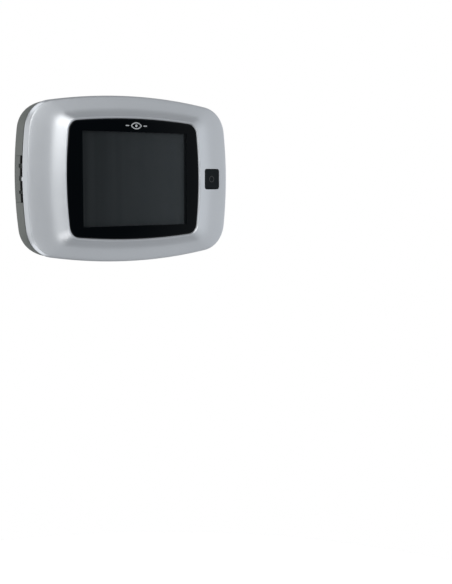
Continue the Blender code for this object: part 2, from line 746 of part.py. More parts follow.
def head_profile(back, front, window_back):
    rim_front = back + HEAD_RIM
    slope_in, slope_forward = HEAD_SLOPE
    shelf_r = HEAD_ROOM_R - HEAD_SHELF
    return [
        (HEAD_R - HEAD_EDGE, back), (HEAD_R, back + HEAD_EDGE), (HEAD_R, rim_front),
        (HEAD_R - slope_in, rim_front + slope_forward),
        (HEAD_FRONT_R + slope_in, front - slope_in), (HEAD_FRONT_R + HEAD_EDGE, front),
        (HEAD_FRONT_R, front), (HEAD_FRONT_R, front - TRIM_THICK),
        (HEAD_ROOM_R, front - TRIM_THICK), (HEAD_ROOM_R, window_back - GAP),
        (shelf_r, window_back - GAP), (shelf_r, BARREL_END + GAP),
        (HEAD_BORE_R, BARREL_END + GAP), (HEAD_BORE_R, back),
    ]


def add_camera_head():
    """The rosette with its gasket, and the window and trim ring in its front."""
    seat = DOOR_THICKNESS + GASKET_THICK
    bore = HEAD_BORE_R + GAP
    gasket = [(GASKET_R, DOOR_THICKNESS), (GASKET_R, seat), (bore, seat), (bore, DOOR_THICKNESS)]
    smooth(turned("outdoor_gasket", gasket, black_rubber()))
    back = seat + GAP
    front = back + HEAD_THICK
    window_back = front - TRIM_THICK - WINDOW_THICK - GAP
    smooth(turned("camera_head", head_profile(back, front, window_back), satin_chrome()))
    window_ends = (window_back, window_back + WINDOW_THICK)
    rod("lens_window", 0.0, 0.0, *window_ends, WINDOW_R, lens_glass(), ROUND_STEPS)
    trim_back = front - TRIM_THICK + GAP
    trim = [
        (TRIM_R, trim_back), (TRIM_R, front), (TRIM_R - HEAD_EDGE, front + TRIM_CROWN),
        (TRIM_BORE_R, front - TRIM_DIP), (TRIM_BORE_R, trim_back),
    ]
    smooth(turned("lens_trim_ring", trim, black_plastic()))


def add_camera_module():
    back = BARREL_END + MODULE_GAP
    front = back + MODULE_THICK
    half = MODULE_SIDE / 2
    box("camera_module", (-half, back, -half), (half, front, half), board_green())
    lens_ends = (front + MODULE_GAP, front + MODULE_GAP + LENS_THICK)
    rod("camera_lens", 0.0, 0.0, *lens_ends, LENS_R, lens_glass(), FINE_ROD_STEPS)


def add_barrel():
    barrel = [
        (BARREL_R, BARREL_START), (BARREL_R, BARREL_END),
        (BARREL_BORE_R, BARREL_END), (BARREL_BORE_R, BARREL_START),
    ]
    smooth(turned("door_barrel", barrel, satin_chrome()))


def add_ribbon():
    """A strip from the camera module through the barrel to the board's connector, as a thin solid."""
    straight = [(BARREL_END - RIBBON_END, 0.0), (DOOR_THICKNESS / 2, 0.0), (0.0, 0.0)]
    strip = bmesh.new()
    half = RIBBON_WIDTH / 2
    route = straight + list(RIBBON_BEND)
    rows = [[strip.verts.new((x, y, z)) for x in (-half, half)] for y, z in route]
    for row, following in zip(rows, rows[1:]):
        strip.faces.new((row[0], row[1], following[1], following[0]))
    mesh = bpy.data.meshes.new("camera_ribbon")
    strip.to_mesh(mesh)
    strip.free()
    ribbon = new_object("camera_ribbon", mesh, material("ribbon_amber", (0.35, 0.14, 0.03), 0.4))
    solid = ribbon.modifiers.new("thickness", "SOLIDIFY")
    solid.thickness = mm(RIBBON_THICK)
    solid.offset = 0.0
    solid.use_even_offset = True
    return ribbon


def main():
    global parts, cutters
    clear_scene()
    parts = add_collection("door_viewer", hidden=False)
    cutters = add_collection("cutters", hidden=True)
    add_bezel()
    add_display()
    add_button()
    add_board()
    add_socket("usb_socket", USB_SIZE, USB_MOUTH, USB_Z)
    add_usb_tongue()
    add_socket("card_slot", CARD_SIZE, CARD_MOUTH, CARD_Z)
    add_battery()
    add_rear_housing()
    add_port_cover()
    add_battery_lid()
    add_housing_screws()
    add_bracket()
    add_clamp_sleeve()
    add_barrel()
    add_camera_head()
    add_camera_module()
    add_ribbon()


main()
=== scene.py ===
"""Door viewer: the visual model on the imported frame, with its studio and camera.

Shapes are made in millimetres and scaled to metres as they become objects. Depths "d" are measured
back from the front of the display glass, and at() turns one into a Y. Each piece takes its place from
the box of the CAD node it stands for, and adds the small features that the node leaves out.
"""

import math

import bmesh
import bpy
from mathutils import Matrix, Vector


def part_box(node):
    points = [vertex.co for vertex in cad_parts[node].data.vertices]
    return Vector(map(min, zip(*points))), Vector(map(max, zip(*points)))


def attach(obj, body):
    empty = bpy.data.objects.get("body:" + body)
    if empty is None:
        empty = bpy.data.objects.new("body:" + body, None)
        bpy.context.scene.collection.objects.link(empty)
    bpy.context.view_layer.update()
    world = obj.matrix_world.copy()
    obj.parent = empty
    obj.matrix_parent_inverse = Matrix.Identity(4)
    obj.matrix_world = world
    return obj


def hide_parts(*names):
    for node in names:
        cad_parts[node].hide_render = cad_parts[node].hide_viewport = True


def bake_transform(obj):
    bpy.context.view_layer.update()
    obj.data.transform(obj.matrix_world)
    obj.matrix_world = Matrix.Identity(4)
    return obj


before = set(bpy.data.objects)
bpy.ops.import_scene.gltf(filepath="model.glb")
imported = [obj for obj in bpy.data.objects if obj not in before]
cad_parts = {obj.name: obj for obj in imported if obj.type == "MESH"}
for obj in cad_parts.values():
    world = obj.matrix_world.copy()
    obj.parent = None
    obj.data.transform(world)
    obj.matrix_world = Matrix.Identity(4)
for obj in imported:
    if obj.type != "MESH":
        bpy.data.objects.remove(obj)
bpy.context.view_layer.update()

# The unit, in millimetres, as in the CAD model
UNIT_DEPTH = 14.6
REAR_GAP = 2.8
GLASS_Y = -(REAR_GAP + UNIT_DEPTH)
GAP = 0.3
# Outlines with bulged sides: half width, half height, and the radii of top, side and corner
BODY = (56.85, 38.2, 281.0, 177.0, 14.0)
GLASS = (36.9, 27.6, 317.0, 178.0, 5.0)
PARTING_D = 4.3
BEZEL_WALL = 1.8
LEDGE_D = 1.8
LEDGE_UNDER_D = 3.0
LEDGE_INSET = 1.9
LEDGE_OUTSET = 2.0
UNDERSIDE_BEND = (0.47, 3.05)
UNDERSIDE = ((4.0, 3.2), (BEZEL_WALL, 3.5), (BEZEL_WALL, PARTING_D), (0.12, PARTING_D))
CREST_OUTSET = 1.0
CORNER_SETTLES = 0.8
BEZEL_RIM = ((0.0, PARTING_D - 0.12), (0.004, 3.7), (0.03, 2.9), (0.055, 2.2), (0.068, 2.04))
BEZEL_FACE = (
    (0.068, 2.04), (0.14, 1.9), (0.32, 1.64),
    (0.53, 1.35), (0.64, 1.15), (0.74, 0.85), (0.84, 0.42), (0.925, 0.0), (0.98, -0.31), (1.0, -0.4),
)
SEEN_GAP = 0.1  # round the glass
BEZEL_LIP = ((0.75, -0.35), (0.42, -0.2), (0.2, 0.0), (SEEN_GAP, 0.2))
HOUSING_LIP = ((1.3, PARTING_D + GAP), (1.3, 5.2))
HOUSING_OUTSIDE = ((0.4, 5.5), (0.45, 9.0), (0.95, 12.4), (1.5, 13.9), (2.5, UNIT_DEPTH))
HOUSING_WALL = 1.8
COVER_WALL = 1.3
BACK_INSIDE_D = UNIT_DEPTH - 1.2
BOSSES = ((-44.0, 28.0), (44.0, 28.0), (-44.0, -28.0), (44.0, -28.0))
PICTURE = (57.6, 43.2)
PICTURE_X = 0.5
MASK_WINDOW = (-28.65, 29.7)  # its left and right edges
BUTTON_X = 46.05
BUTTON_HOLE = (9.9, 10.0)
BUTTON_GAP = 0.3
PORT_HALF_HEIGHT = 10.3
COVER_D = (6.4, 12.2)
THREAD_PITCH = 1.5
HOOKS = ((-9.5, 24.0), (9.5, 24.0), (-9.5, -16.0), (9.5, -16.0))
CABLE_WINDOW = (15.0, 20.0, -3.0)
LID_TAB = 1.0  # the battery lid's, below its panel
BRACKET = (30.0, 58.0)
DOOR_BORE_R = 7.5

LONG_STEPS = 22
CORNER_STEPS = 14
ROUND_STEPS = 72
MERGE = 0.001
WAVE_LENGTH = 0.314159  # of a wave texture, at a scale of 1


def at(d):
    return GLASS_Y + d


# Forms in millimetres: outlines first, then bmeshes


def arc(centre, radius, start, end, steps):
    """Points on an arc, without its last one."""
    angles = [start + (end - start) * i / steps for i in range(steps)]
    return [(centre[0] + radius * math.cos(a), centre[1] + radius * math.sin(a)) for a in angles]


def bulged_outline(shape, inset=0.0):
    """A rectangle with bulged sides and round corners, moved in by an inset, as (x, z) points."""
    half_w, half_h, r_top, r_side, r_corner = (value - inset for value in shape)
    top = Vector((0.0, half_h - r_top))
    side = Vector((half_w - r_side, 0.0))
    between = side - top
    reach_top = r_top - r_corner
    reach_side = r_side - r_corner
    along = (reach_top**2 - reach_side**2 + between.length**2) / (2 * between.length)
    across = math.sqrt(reach_top**2 - along**2)
    unit = between.normalized()
    corner = top + unit * along + Vector((unit.y, -unit.x)) * across
    turn_top = math.atan2(corner.y - top.y, corner.x - top.x)
    turn_side = math.atan2(corner.y - side.y, corner.x - side.x)
    quarter = arc(side, r_side, 0.0, turn_side, LONG_STEPS)
    quarter += arc(corner, r_corner, turn_side, turn_top, CORNER_STEPS)
    quarter += arc(top, r_top, turn_top, math.pi / 2, LONG_STEPS)
    quarter.append((0.0, half_h))
    upper = quarter + [(-x, z) for x, z in quarter[-2::-1]]
    return upper + [(x, -z) for x, z in upper[-2:0:-1]]


def face_outline(share):
    """The outline part of the way from the body's to the crest's. Its corners tighten first."""
    crest = [value + CREST_OUTSET for value in GLASS]
    shape = [start + (end - start) * share for start, end in zip(BODY, crest)]
    shape[-1] = BODY[-1] + (crest[-1] - BODY[-1]) * min(1.0, share / CORNER_SETTLES)
    return bulged_outline(shape)


def rounded_outline(wide, high, radius, steps=6, centre=(0.0, 0.0)):
    """A rectangle with round corners, as (x, z) points, anticlockwise from its right side's top."""
    points = []
    for i, (sx, sz) in enumerate(((1, 1), (-1, 1), (-1, -1), (1, -1))):
        x, z = centre[0] + sx * (wide / 2 - radius), centre[1] + sz * (high / 2 - radius)
        start = i * math.pi / 2
        end = start + math.pi / 2
        points += arc((x, z), radius, start, end, steps)
        points.append((x + radius * math.cos(end), z + radius * math.sin(end)))
    return points


def ring(outline, y):
    return [Vector((x, y, z)) for x, z in outline]


def smooth_path(points, per_span=4):
    """Points on a centripetal Catmull-Rom curve through the given ones, ends included."""

    def between(a, b, t_a, t_b):
        return a * ((t_b - t) / (t_b - t_a)) + b * ((t - t_a) / (t_b - t_a))

    known = [Vector(p) for p in points]
    known = [known[0] * 2 - known[1], *known, known[-1] * 2 - known[-2]]
    made = []
    for p0, p1, p2, p3 in zip(known, known[1:], known[2:], known[3:]):
        t1 = (p1 - p0).length ** 0.5
        t2 = t1 + (p2 - p1).length ** 0.5
        t3 = t2 + (p3 - p2).length ** 0.5
        for i in range(per_span):
            t = t1 + (t2 - t1) * i / per_span
            middle = between(p1, p2, t1, t2)
            before = between(between(p0, p1, 0.0, t1), middle, 0.0, t2)
            after = between(middle, between(p2, p3, t2, t3), t1, t3)
            made.append(between(before, after, t1, t2))
    return made + [known[-2]]


def loft(rings, closed=False, caps=True):
    """Skins the rings in order. Its ends are capped, or joined to each other when closed."""
    form = bmesh.new()
    rows = [[form.verts.new(point) for point in points] for points in rings]
    count = len(rows[0])
    pairs = list(zip(rows, rows[1:]))
    if closed:
        pairs.append((rows[-1], rows[0]))
    elif caps:
        form.faces.new(rows[0])
        form.faces.new(reversed(rows[-1]))
    for row, following in pairs:
        for i in range(count):
            j = (i + 1) % count
            form.faces.new((row[j], row[i], following[i], following[j]))
    bmesh.ops.recalc_face_normals(form, faces=form.faces)
    return form


def block(low, high, edge=0.15):
    """A box between two corners, with rounded edges."""
    low, high = Vector(low), Vector(high)
    form = bmesh.new()
    bmesh.ops.create_cube(form, size=1.0)
    bmesh.ops.scale(form, vec=high - low, verts=form.verts)
    bmesh.ops.translate(form, vec=(low + high) / 2, verts=form.verts)
    if edge:
        bmesh.ops.bevel(form, geom=list(form.edges), offset=edge, segments=2, profile=0.5, affect="EDGES")
    return form


def pad(x, z, half_x, half_z, front, back, edge=0.15):
    """A block round a point of the front view."""
    return block((x - half_x, front, z - half_z), (x + half_x, back, z + half_z), edge)


def slab(outline, front, back, edge=0.0):
    """A plate of an outline between two Ys, with its edges eased by insets of the outline's own scale."""
    if not edge:
        return loft([ring(outline, front), ring(outline, back)])
    xs, zs = [p[0] for p in outline], [p[1] for p in outline]
    cx, cz = (min(xs) + max(xs)) / 2, (min(zs) + max(zs)) / 2
    share_x = 1 - 2 * edge / (max(xs) - min(xs))
    share_z = 1 - 2 * edge / (max(zs) - min(zs))
    inner = [(cx + (x - cx) * share_x, cz + (z - cz) * share_z) for x, z in outline]
    mid = [(x + (u - x) * 0.3, z + (v - z) * 0.3) for (x, z), (u, v) in zip(outline, inner)]
    rings = [ring(inner, front), ring(mid, front + 0.3 * edge), ring(outline, front + edge)]
    rings += [ring(outline, back - edge), ring(mid, back - 0.3 * edge), ring(inner, back)]
    return loft(rings)


def plate(wide, tall, radius, front, back, centre=(0.0, 0.0), steps=6, edge=0.0):
    """A slab with round corners."""
    return slab(rounded_outline(wide, tall, radius, steps, centre), front, back, edge)


def circle(radius, y, centre=(0.0, 0.0), steps=ROUND_STEPS):
    """Points round an axis along Y."""
    angles = [2 * math.pi * i / steps for i in range(steps)]
    return [Vector((centre[0] + radius * math.cos(a), y, centre[1] + radius * math.sin(a))) for a in angles]


def turned(profile, centre=(0.0, 0.0), steps=ROUND_STEPS, closed=True, caps=True):
    """A (radius, y) profile turned round an axis along Y. An open profile runs from axis to axis."""
    return loft([circle(radius, y, centre, steps) for radius, y in profile], closed=closed, caps=caps)


def headings(points):
    """The direction of a path at each of its points."""
    ends = zip([points[0], *points], [*points[1:], points[-1]])
    return [(after - before).normalized() for before, after in ends]


def tube(path, radius, steps=8):
    """A round wire along (x, y, z) points."""
    points = [Vector(p) for p in path]
    angles = [2 * math.pi * k / steps for k in range(steps)]
    rings = []
    for point, ahead in zip(points, headings(points)):
        side = ahead.cross(Vector((0.3, 0.2, 1.0))).normalized()
        up = side.cross(ahead)
        rings.append([point + (side * math.cos(a) + up * math.sin(a)) * radius for a in angles])
    return loft(rings)


def strip(path, wide, thick, x=0.0):
    """A flat strip along (y, z) points, as wide as its X."""
    points = [Vector(p) for p in path]
    rings = []
    for point, ahead in zip(points, headings(points)):
        off = Vector((-ahead.y, ahead.x)) * thick / 2
        low, high = point - off, point + off
        corners = ((-1, low), (1, low), (1, high), (-1, high))
        rings.append([Vector((x + side * wide / 2, corner.x, corner.y)) for side, corner in corners])
    return loft(rings)


def merge(whole, form):
    """Adds a form to another without joining their surfaces, and frees it."""
    loose = bpy.data.meshes.new("loose")
    form.to_mesh(loose)
    form.free()
    whole.from_mesh(loose)
    bpy.data.meshes.remove(loose)


def new_object(name, data):
    obj = bpy.data.objects.new(name, data)
    bpy.context.scene.collection.objects.link(obj)
    return obj


def loose_object(form):
    mesh = bpy.data.meshes.new("loose")
    form.to_mesh(mesh)
    form.free()
    return new_object("loose", mesh)


def carved(form, *tools, operation="DIFFERENCE"):
    """The form after an exact Boolean with each of the tools."""
    target = loose_object(form)
    others = [loose_object(tool) for tool in tools]
    for other in others:
        modifier = target.modifiers.new("carve", "BOOLEAN")
        modifier.operation = operation
        modifier.solver = "EXACT"
        modifier.object = other
    bpy.context.view_layer.update()
    result = bmesh.new()
    result.from_object(target, bpy.context.evaluated_depsgraph_get())
    for obj in (target, *others):
        mesh = obj.data
        bpy.data.objects.remove(obj)
        bpy.data.meshes.remove(mesh)
    return result


def eased(form, width, segments=2, sharper_than=40.0):
    """The form with its sharp edges rounded."""
    bmesh.ops.remove_doubles(form, verts=form.verts, dist=MERGE)
    bmesh.ops.dissolve_limit(form, angle_limit=math.radians(0.5), verts=form.verts, edges=form.edges)
    limit = math.radians(sharper_than)
    sharp = [e for e in form.edges if len(e.link_faces) == 2 and e.calc_face_angle(0.0) > limit]
    bmesh.ops.bevel(
        form, geom=sharp, offset=width, segments=segments, profile=0.5, affect="EDGES", clamp_overlap=True,
    )
    return form


def cylinder(x, z, start, end, radius, steps=32):
    return turned([(radius, start), (radius, end)], (x, z), steps, closed=False)


def node_box(name):
    """The lowest and highest corners of a CAD node, in millimetres."""
    low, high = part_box(name)
    return low * 1000, high * 1000


# Finishes: each is a Principled shader with colour, roughness and relief from its nodes


def add_node(tree, kind, **inputs):
    """A shader node with values set on its inputs."""
    made = tree.nodes.new(kind)
    for name, value in inputs.items():
        made.inputs[name.replace("_", " ")].default_value = value
    return made


def ramped(tree, factor, low, high, start, end):
    """A value that runs from low to high as the factor runs from start to end."""
    made = add_node(tree, "ShaderNodeMapRange", From_Min=start, From_Max=end, To_Min=low, To_Max=high)
    tree.links.new(factor, made.inputs["Value"])
    return made.outputs["Result"]


class Finish:
    """A material in the making, read in object space, in which sizes are millimetres."""

    def __init__(self, name, roughness=0.5, metallic=0.0, **sockets):
        self.material = bpy.data.materials.new(name)
        self.material.use_nodes = True
        self.tree = self.material.node_tree
        self.shader = self.tree.nodes["Principled BSDF"]
        self.place = self.node("ShaderNodeTexCoord").outputs["Object"]
        for socket, value in {"Roughness": roughness, "Metallic": metallic, **sockets}.items():
            self.shader.inputs[socket.replace("_", " ")].default_value = value

    def node(self, kind, **inputs):
        return add_node(self.tree, kind, **inputs)

    def link(self, source, target):
        self.tree.links.new(source, target)

    def placed(self, **mapping):
        made = self.node("ShaderNodeMapping", **mapping)
        self.link(self.place, made.inputs["Vector"])
        return made.outputs["Vector"]

    def noise(self, size, detail=3.0, stretch=(1.0, 1.0, 1.0)):
        made = self.node("ShaderNodeTexNoise", Scale=1000.0 / size, Detail=detail)
        self.link(self.placed(Scale=stretch), made.inputs["Vector"])
        return made.outputs["Fac"]

    def cells(self, size):
        made = self.node("ShaderNodeTexVoronoi", Scale=1000.0 / size)
        self.link(self.place, made.inputs["Vector"])
        return made.outputs["Distance"]

    def waves(self, size, direction, kind="BANDS"):
        """Bands across an axis, or rings round it, a size apart."""
        made = self.node("ShaderNodeTexWave", Scale=1000.0 / size * WAVE_LENGTH)
        made.wave_type = kind
        made.bands_direction = made.rings_direction = direction
        self.link(self.place, made.inputs["Vector"])
        return made.outputs["Fac"]

    def along(self, axis, *ramp):
        """A value that changes along an axis, between two places in metres."""
        parts = self.node("ShaderNodeSeparateXYZ")
        self.link(self.place, parts.inputs["Vector"])
        return self.ranged(parts.outputs[axis], *ramp)

    def mixed(self, factor, dark, light):
        mix = self.node("ShaderNodeMix")
        mix.data_type = "RGBA"
        for socket, colour in ((mix.inputs[6], dark), (mix.inputs[7], light)):
            if isinstance(colour, bpy.types.NodeSocket):
                self.link(colour, socket)
            else:
                socket.default_value = (*colour, 1.0)
        self.link(factor, mix.inputs[0])
        return mix.outputs[2]

    def ranged(self, factor, low, high, start=0.3, end=0.7):
        return ramped(self.tree, factor, low, high, start, end)

    def above(self, factor, level, soft=0.03):
        return self.ranged(factor, 0.0, 1.0, level - soft, level + soft)

    def colour(self, *mix):
        self.link(self.mixed(*mix), self.shader.inputs["Base Color"])
        return self

    def toned(self, colour, slow, shades, specks, light):
        """Colour that drifts between two shades of its own, with lighter specks."""
        tone = self.mixed(self.ranged(slow, 0.0, 1.0), *(shaded(colour, share) for share in shades))
        return self.colour(specks, tone, shaded(colour, light))

    def rough(self, factor, low, high):
        self.link(self.ranged(factor, low, high), self.shader.inputs["Roughness"])
        return self

    def relief(self, factor, depth):
        """Raises the surface by up to a depth in millimetres."""
        bump = self.node("ShaderNodeBump", Strength=1.0, Distance=depth / 1000.0)
        self.link(factor, bump.inputs["Height"])
        self.link(bump.outputs["Normal"], self.shader.inputs["Normal"])
        return self


def shaded(colour, share):
    return tuple(channel * share for channel in colour)


def moulded(name, colour, roughness=0.5, grain=0.35, depth=0.012, **sockets):
    """Moulded plastic: a fine grain, and a slow change of tone."""
    finish = Finish(name, roughness, **sockets)
    fine = finish.noise(grain)
    finish.toned(colour, finish.noise(14.0, 2.0), (0.93, 1.06), finish.ranged(fine, 0.0, 0.35), 1.25)
    return finish.rough(fine, roughness - 0.07, roughness + 0.08).relief(fine, depth).material


def metal(name, colour, roughness=0.3, stretch=(1.0, 1.0, 1.0)):
    """Bare or plated metal, with a brushed direction where the grain is stretched."""
    finish = Finish(name, roughness, 1.0)
    fine = finish.noise(0.25, 4.0, stretch)
    finish.toned(colour, finish.noise(9.0, 2.0), (0.9, 1.0), finish.ranged(fine, 0.0, 0.5), 1.12)
    return finish.rough(fine, roughness - 0.08, roughness + 0.1).relief(fine, 0.004).material


def silver_lacquer():
    """Silver lacquer on plastic: metallic flakes under a thin clear coat."""
    finish = Finish("silver_lacquer", 0.3, 0.62, Coat_Weight=0.35, Coat_Roughness=0.12)
    flakes = finish.cells(0.16)
    specks = finish.ranged(flakes, 0.0, 0.3, 0.0, 0.5)
    finish.toned((0.50, 0.525, 0.56), finish.noise(22.0, 2.0), (0.97, 1.03), specks, 1.35)
    return finish.rough(flakes, 0.28, 0.36).relief(finish.noise(0.9, 2.0), 0.004).material


def black_mask():
    """The black print behind the glass, seen through its polished face."""
    finish = Finish("glass_mask", 0.06, 0.0, Specular_IOR_Level=0.25)
    dust = finish.above(finish.noise(0.5, 4.0), 0.72)
    finish.colour(dust, (0.0012, 0.0022, 0.0032), (0.004, 0.005, 0.006))
    return finish.rough(finish.noise(30.0, 3.0), 0.04, 0.08).material


def window_glass():
    """The clear window in the mask, which is nearly all see-through."""
    finish = Finish("window_glass", 0.05, 0.0, Specular_IOR_Level=0.25, Alpha=0.12)
    return finish.colour(finish.noise(40.0, 2.0), (0.006, 0.008, 0.010), (0.010, 0.012, 0.014)).material


def lcd_screen():
    """The switched-off picture area: dark grey, with its grid of pixels, and a painted reflection that makes
    it lighter towards the right.
    """
    finish = Finish("lcd_active_painted_reflection", 0.38, 0.0, Specular_IOR_Level=0.15)
    # Painted reflection: the base colour grows lighter from left to right across the picture, standing in for
    # the room it would mirror.
    across = finish.along("X", 0.0, 1.0, -0.029, 0.029)
    tone = finish.mixed(across, (0.0185, 0.0232, 0.0265), (0.0590, 0.0700, 0.0785))
    streaks = finish.noise(4.5, 2.0, (1.0, 1.0, 0.03))
    tone = finish.mixed(finish.ranged(streaks, 0.0, 0.16), tone, (0.075, 0.086, 0.092))
    gap = (0.006, 0.008, 0.009)
    grid, lines = (finish.ranged(finish.waves(0.18, axis), 0.0, 0.12, 0.0, 1.0) for axis in "XZ")
    finish.colour(lines, finish.mixed(grid, tone, gap), gap)
    return finish.rough(finish.noise(55.0, 1.0), 0.34, 0.42).material


def board_finish():
    """Green solder mask over copper tracks, with tinned pads."""
    finish = Finish("solder_mask", 0.35, 0.0, Coat_Weight=0.3, Coat_Roughness=0.2)
    brick = finish.node("ShaderNodeTexBrick", Scale=380.0, Mortar_Size=0.03, Brick_Width=0.9, Row_Height=0.35)
    finish.link(finish.placed(Rotation=(math.pi / 2, 0.0, 0.0)), brick.inputs["Vector"])
    zones = finish.above(finish.noise(7.0, 1.0), 0.52, 0.01)
    plain = finish.mixed(brick.outputs["Fac"], (0.012, 0.085, 0.045), (0.028, 0.15, 0.075))
    finish.colour(zones, plain, (0.018, 0.115, 0.06))
    return finish.rough(finish.noise(0.6, 2.0), 0.3, 0.42).relief(brick.outputs["Fac"], 0.02).material


def flex_film():
    """Amber film with copper lines running along it."""
    finish = Finish("flex_film", 0.32, 0.1, Coat_Weight=0.4, Coat_Roughness=0.15)
    tracks = finish.above(finish.waves(0.5, "X"), 0.5, 0.1)
    speckle = finish.noise(0.3, 3.0)
    film = finish.mixed(speckle, (0.34, 0.12, 0.022), (0.42, 0.17, 0.035))
    finish.colour(tracks, film, (0.52, 0.25, 0.07))
    return finish.rough(speckle, 0.28, 0.4).relief(tracks, 0.02).material


def turned_metal(name, colour, roughness):
    """Metal finished on a lathe: fine rings round the barrel's axis."""
    finish = Finish(name, roughness, 1.0, Anisotropic=0.35)
    rings = finish.waves(0.22, "Y", "RINGS")
    uneven = finish.noise(0.8, 3.0)
    blend = finish.ranged(finish.mixed(uneven, rings, finish.noise(0.12, 2.0)), 0.0, 1.0)
    finish.colour(blend, shaded(colour, 0.96), shaded(colour, 1.03))
    return finish.rough(uneven, roughness - 0.02, roughness + 0.04).relief(rings, 0.0004).material


def cell_wrap():
    """The battery's printed sleeve: blue-grey shrink film with a paler band at its foot."""
    finish = Finish("cell_wrap", 0.38, 0.0, Coat_Weight=0.25, Coat_Roughness=0.25)
    foot = finish.along("Z", 1.0, 0.0, -0.0142, -0.0138)
    wrinkle = finish.noise(3.0, 4.0)
    film = finish.mixed(wrinkle, (0.035, 0.06, 0.095), (0.05, 0.08, 0.12))
    finish.colour(foot, film, (0.35, 0.36, 0.37))
    return finish.rough(wrinkle, 0.3, 0.45).relief(wrinkle, 0.06).material


def lens_coating():
    """Dark coated glass."""
    finish = Finish("coated_glass", 0.03, 0.0, Coat_Weight=1.0, Coat_Roughness=0.02)
    tint = finish.noise(4.0, 2.0)
    return finish.colour(tint, (0.006, 0.008, 0.02), (0.018, 0.01, 0.03)).rough(tint, 0.02, 0.05).material


def clear_window():
    finish = Finish("outdoor_window", 0.04, 0.0, Alpha=0.25, Coat_Weight=0.6)
    return finish.colour(finish.noise(6.0, 2.0), (0.010, 0.013, 0.016), (0.014, 0.017, 0.020)).material


SILVER = silver_lacquer()
MASK = black_mask()
WINDOW = window_glass()
SCREEN = lcd_screen()
HOUSING_GREY = moulded("housing_grey", (0.118, 0.129, 0.124), 0.5)
COVER_GREY = moulded("cover_grey", (0.105, 0.115, 0.111), 0.5)
KEY_BLACK = moulded("key_black", (0.006, 0.009, 0.011), 0.42, 0.25, 0.006, Specular_IOR_Level=0.1)
SCREEN_EDGE = moulded("lcd_edge", (0.012, 0.0155, 0.018), 0.4, 0.3, 0.001)
BLACK = moulded("black_moulding", (0.016, 0.017, 0.018), 0.45)
KEY_MARK = moulded("key_mark", (0.03, 0.032, 0.035), 0.5, 0.2, 0.003)
PRINT_GREY = moulded("print_grey", (0.20, 0.21, 0.22), 0.5, 0.2, 0.003)
MARK_SILVER = metal("mark_silver", (0.62, 0.64, 0.66), 0.35)
STEEL = metal("pressed_steel", (0.50, 0.50, 0.49), 0.34, (1.0, 1.0, 0.08))
TINNED = metal("tinned_can", (0.60, 0.60, 0.58), 0.3, (0.1, 1.0, 1.0))
ZINC = turned_metal("zinc_plate", (0.52, 0.53, 0.54), 0.3)
CHROME = turned_metal("satin_chrome", (0.56, 0.57, 0.58), 0.27)
GOLD = metal("gold_plate", (0.78, 0.55, 0.22), 0.25)
BOARD = board_finish()
FILM = flex_film()
RUBBER = moulded("gasket_rubber", (0.018, 0.018, 0.018), 0.78, 0.3, 0.03)
WRAP = cell_wrap()
LENS = lens_coating()
OUTDOOR_WINDOW = clear_window()
CHIP = moulded("chip_package", (0.02, 0.02, 0.022), 0.55, 0.15, 0.004)
CERAMIC = moulded("ceramic_body", (0.30, 0.22, 0.15), 0.4, 0.2, 0.003)


class Piece:
    """A visible piece gathered from forms, each with its own finish. It stands for the CAD nodes named."""

    def __init__(self, name, slot, *nodes):
        self.name, self.slot, self.nodes = name, slot, nodes
        self.whole = bmesh.new()
        self.finishes = []

    def add(self, finish, *forms):
        if finish not in self.finishes:
            self.finishes.append(finish)
        for form in forms:
            for face in form.faces:
                face.material_index = self.finishes.index(finish)
            merge(self.whole, form)
        return self

    def done(self, body="display_unit", sharp=35.0):
        """Makes the object, which rides on the body unless that is None."""
        mesh = bpy.data.meshes.new(self.name)
        self.whole.to_mesh(mesh)
        self.whole.free()
        mesh.transform(Matrix.Scale(0.001, 4))
        for finish in self.finishes:
            mesh.materials.append(finish)
        mesh.shade_smooth()
        mesh.set_sharp_from_angle(angle=math.radians(sharp))
        obj = new_object(self.name, mesh)
        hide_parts(*self.nodes)
        if body:
            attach(obj, body)
        return obj


def piece_for(node, name, slot):
    """A piece that stands for a CAD node, with the node's lowest and highest corners in millimetres."""
    return Piece(name, slot, node), *node_box(node)


# Display unit, front to back


def wall_x(z, inset):
    """The X of the body's left wall at a height."""
    half_w, r_side = BODY[0], BODY[3]
    return r_side - half_w - math.sqrt((r_side - inset) ** 2 - z**2)


def rings_of(shape, section, wall=0.0):
    """Rings of a bulged outline, at the (inset, depth) points of a section."""
    return [ring(bulged_outline(shape, inset + wall), at(d)) for inset, d in section]


def bezel_rings():
    """The bezel's section, from its rear edge over the front to the glass pocket and back underneath."""
    reach = BODY[0] - GLASS[0] - CREST_OUTSET
    rim = smooth_path([(share * reach, d) for share, d in BEZEL_RIM], 4)
    lip = [(reach + CREST_OUTSET - outset, d) for outset, d in BEZEL_LIP]
    rings = []
    for x, d in rim[:-1] + smooth_path([(share * reach, d) for share, d in BEZEL_FACE] + lip, 4):
        if x < reach:
            outline = face_outline(max(0.0, x / reach))
        else:
            outline = bulged_outline(GLASS, x - reach - CREST_OUTSET)
        rings.append(ring(outline, at(d)))
    rings += rings_of(GLASS, (
        (-SEEN_GAP, 0.5), (-SEEN_GAP, LEDGE_D), (LEDGE_INSET, LEDGE_D), (LEDGE_INSET, LEDGE_UNDER_D),
        (-LEDGE_OUTSET, LEDGE_UNDER_D),
    ))
    share, d = UNDERSIDE_BEND
    rings.append(ring(face_outline(share), at(d)))
    return rings + rings_of(BODY, UNDERSIDE)


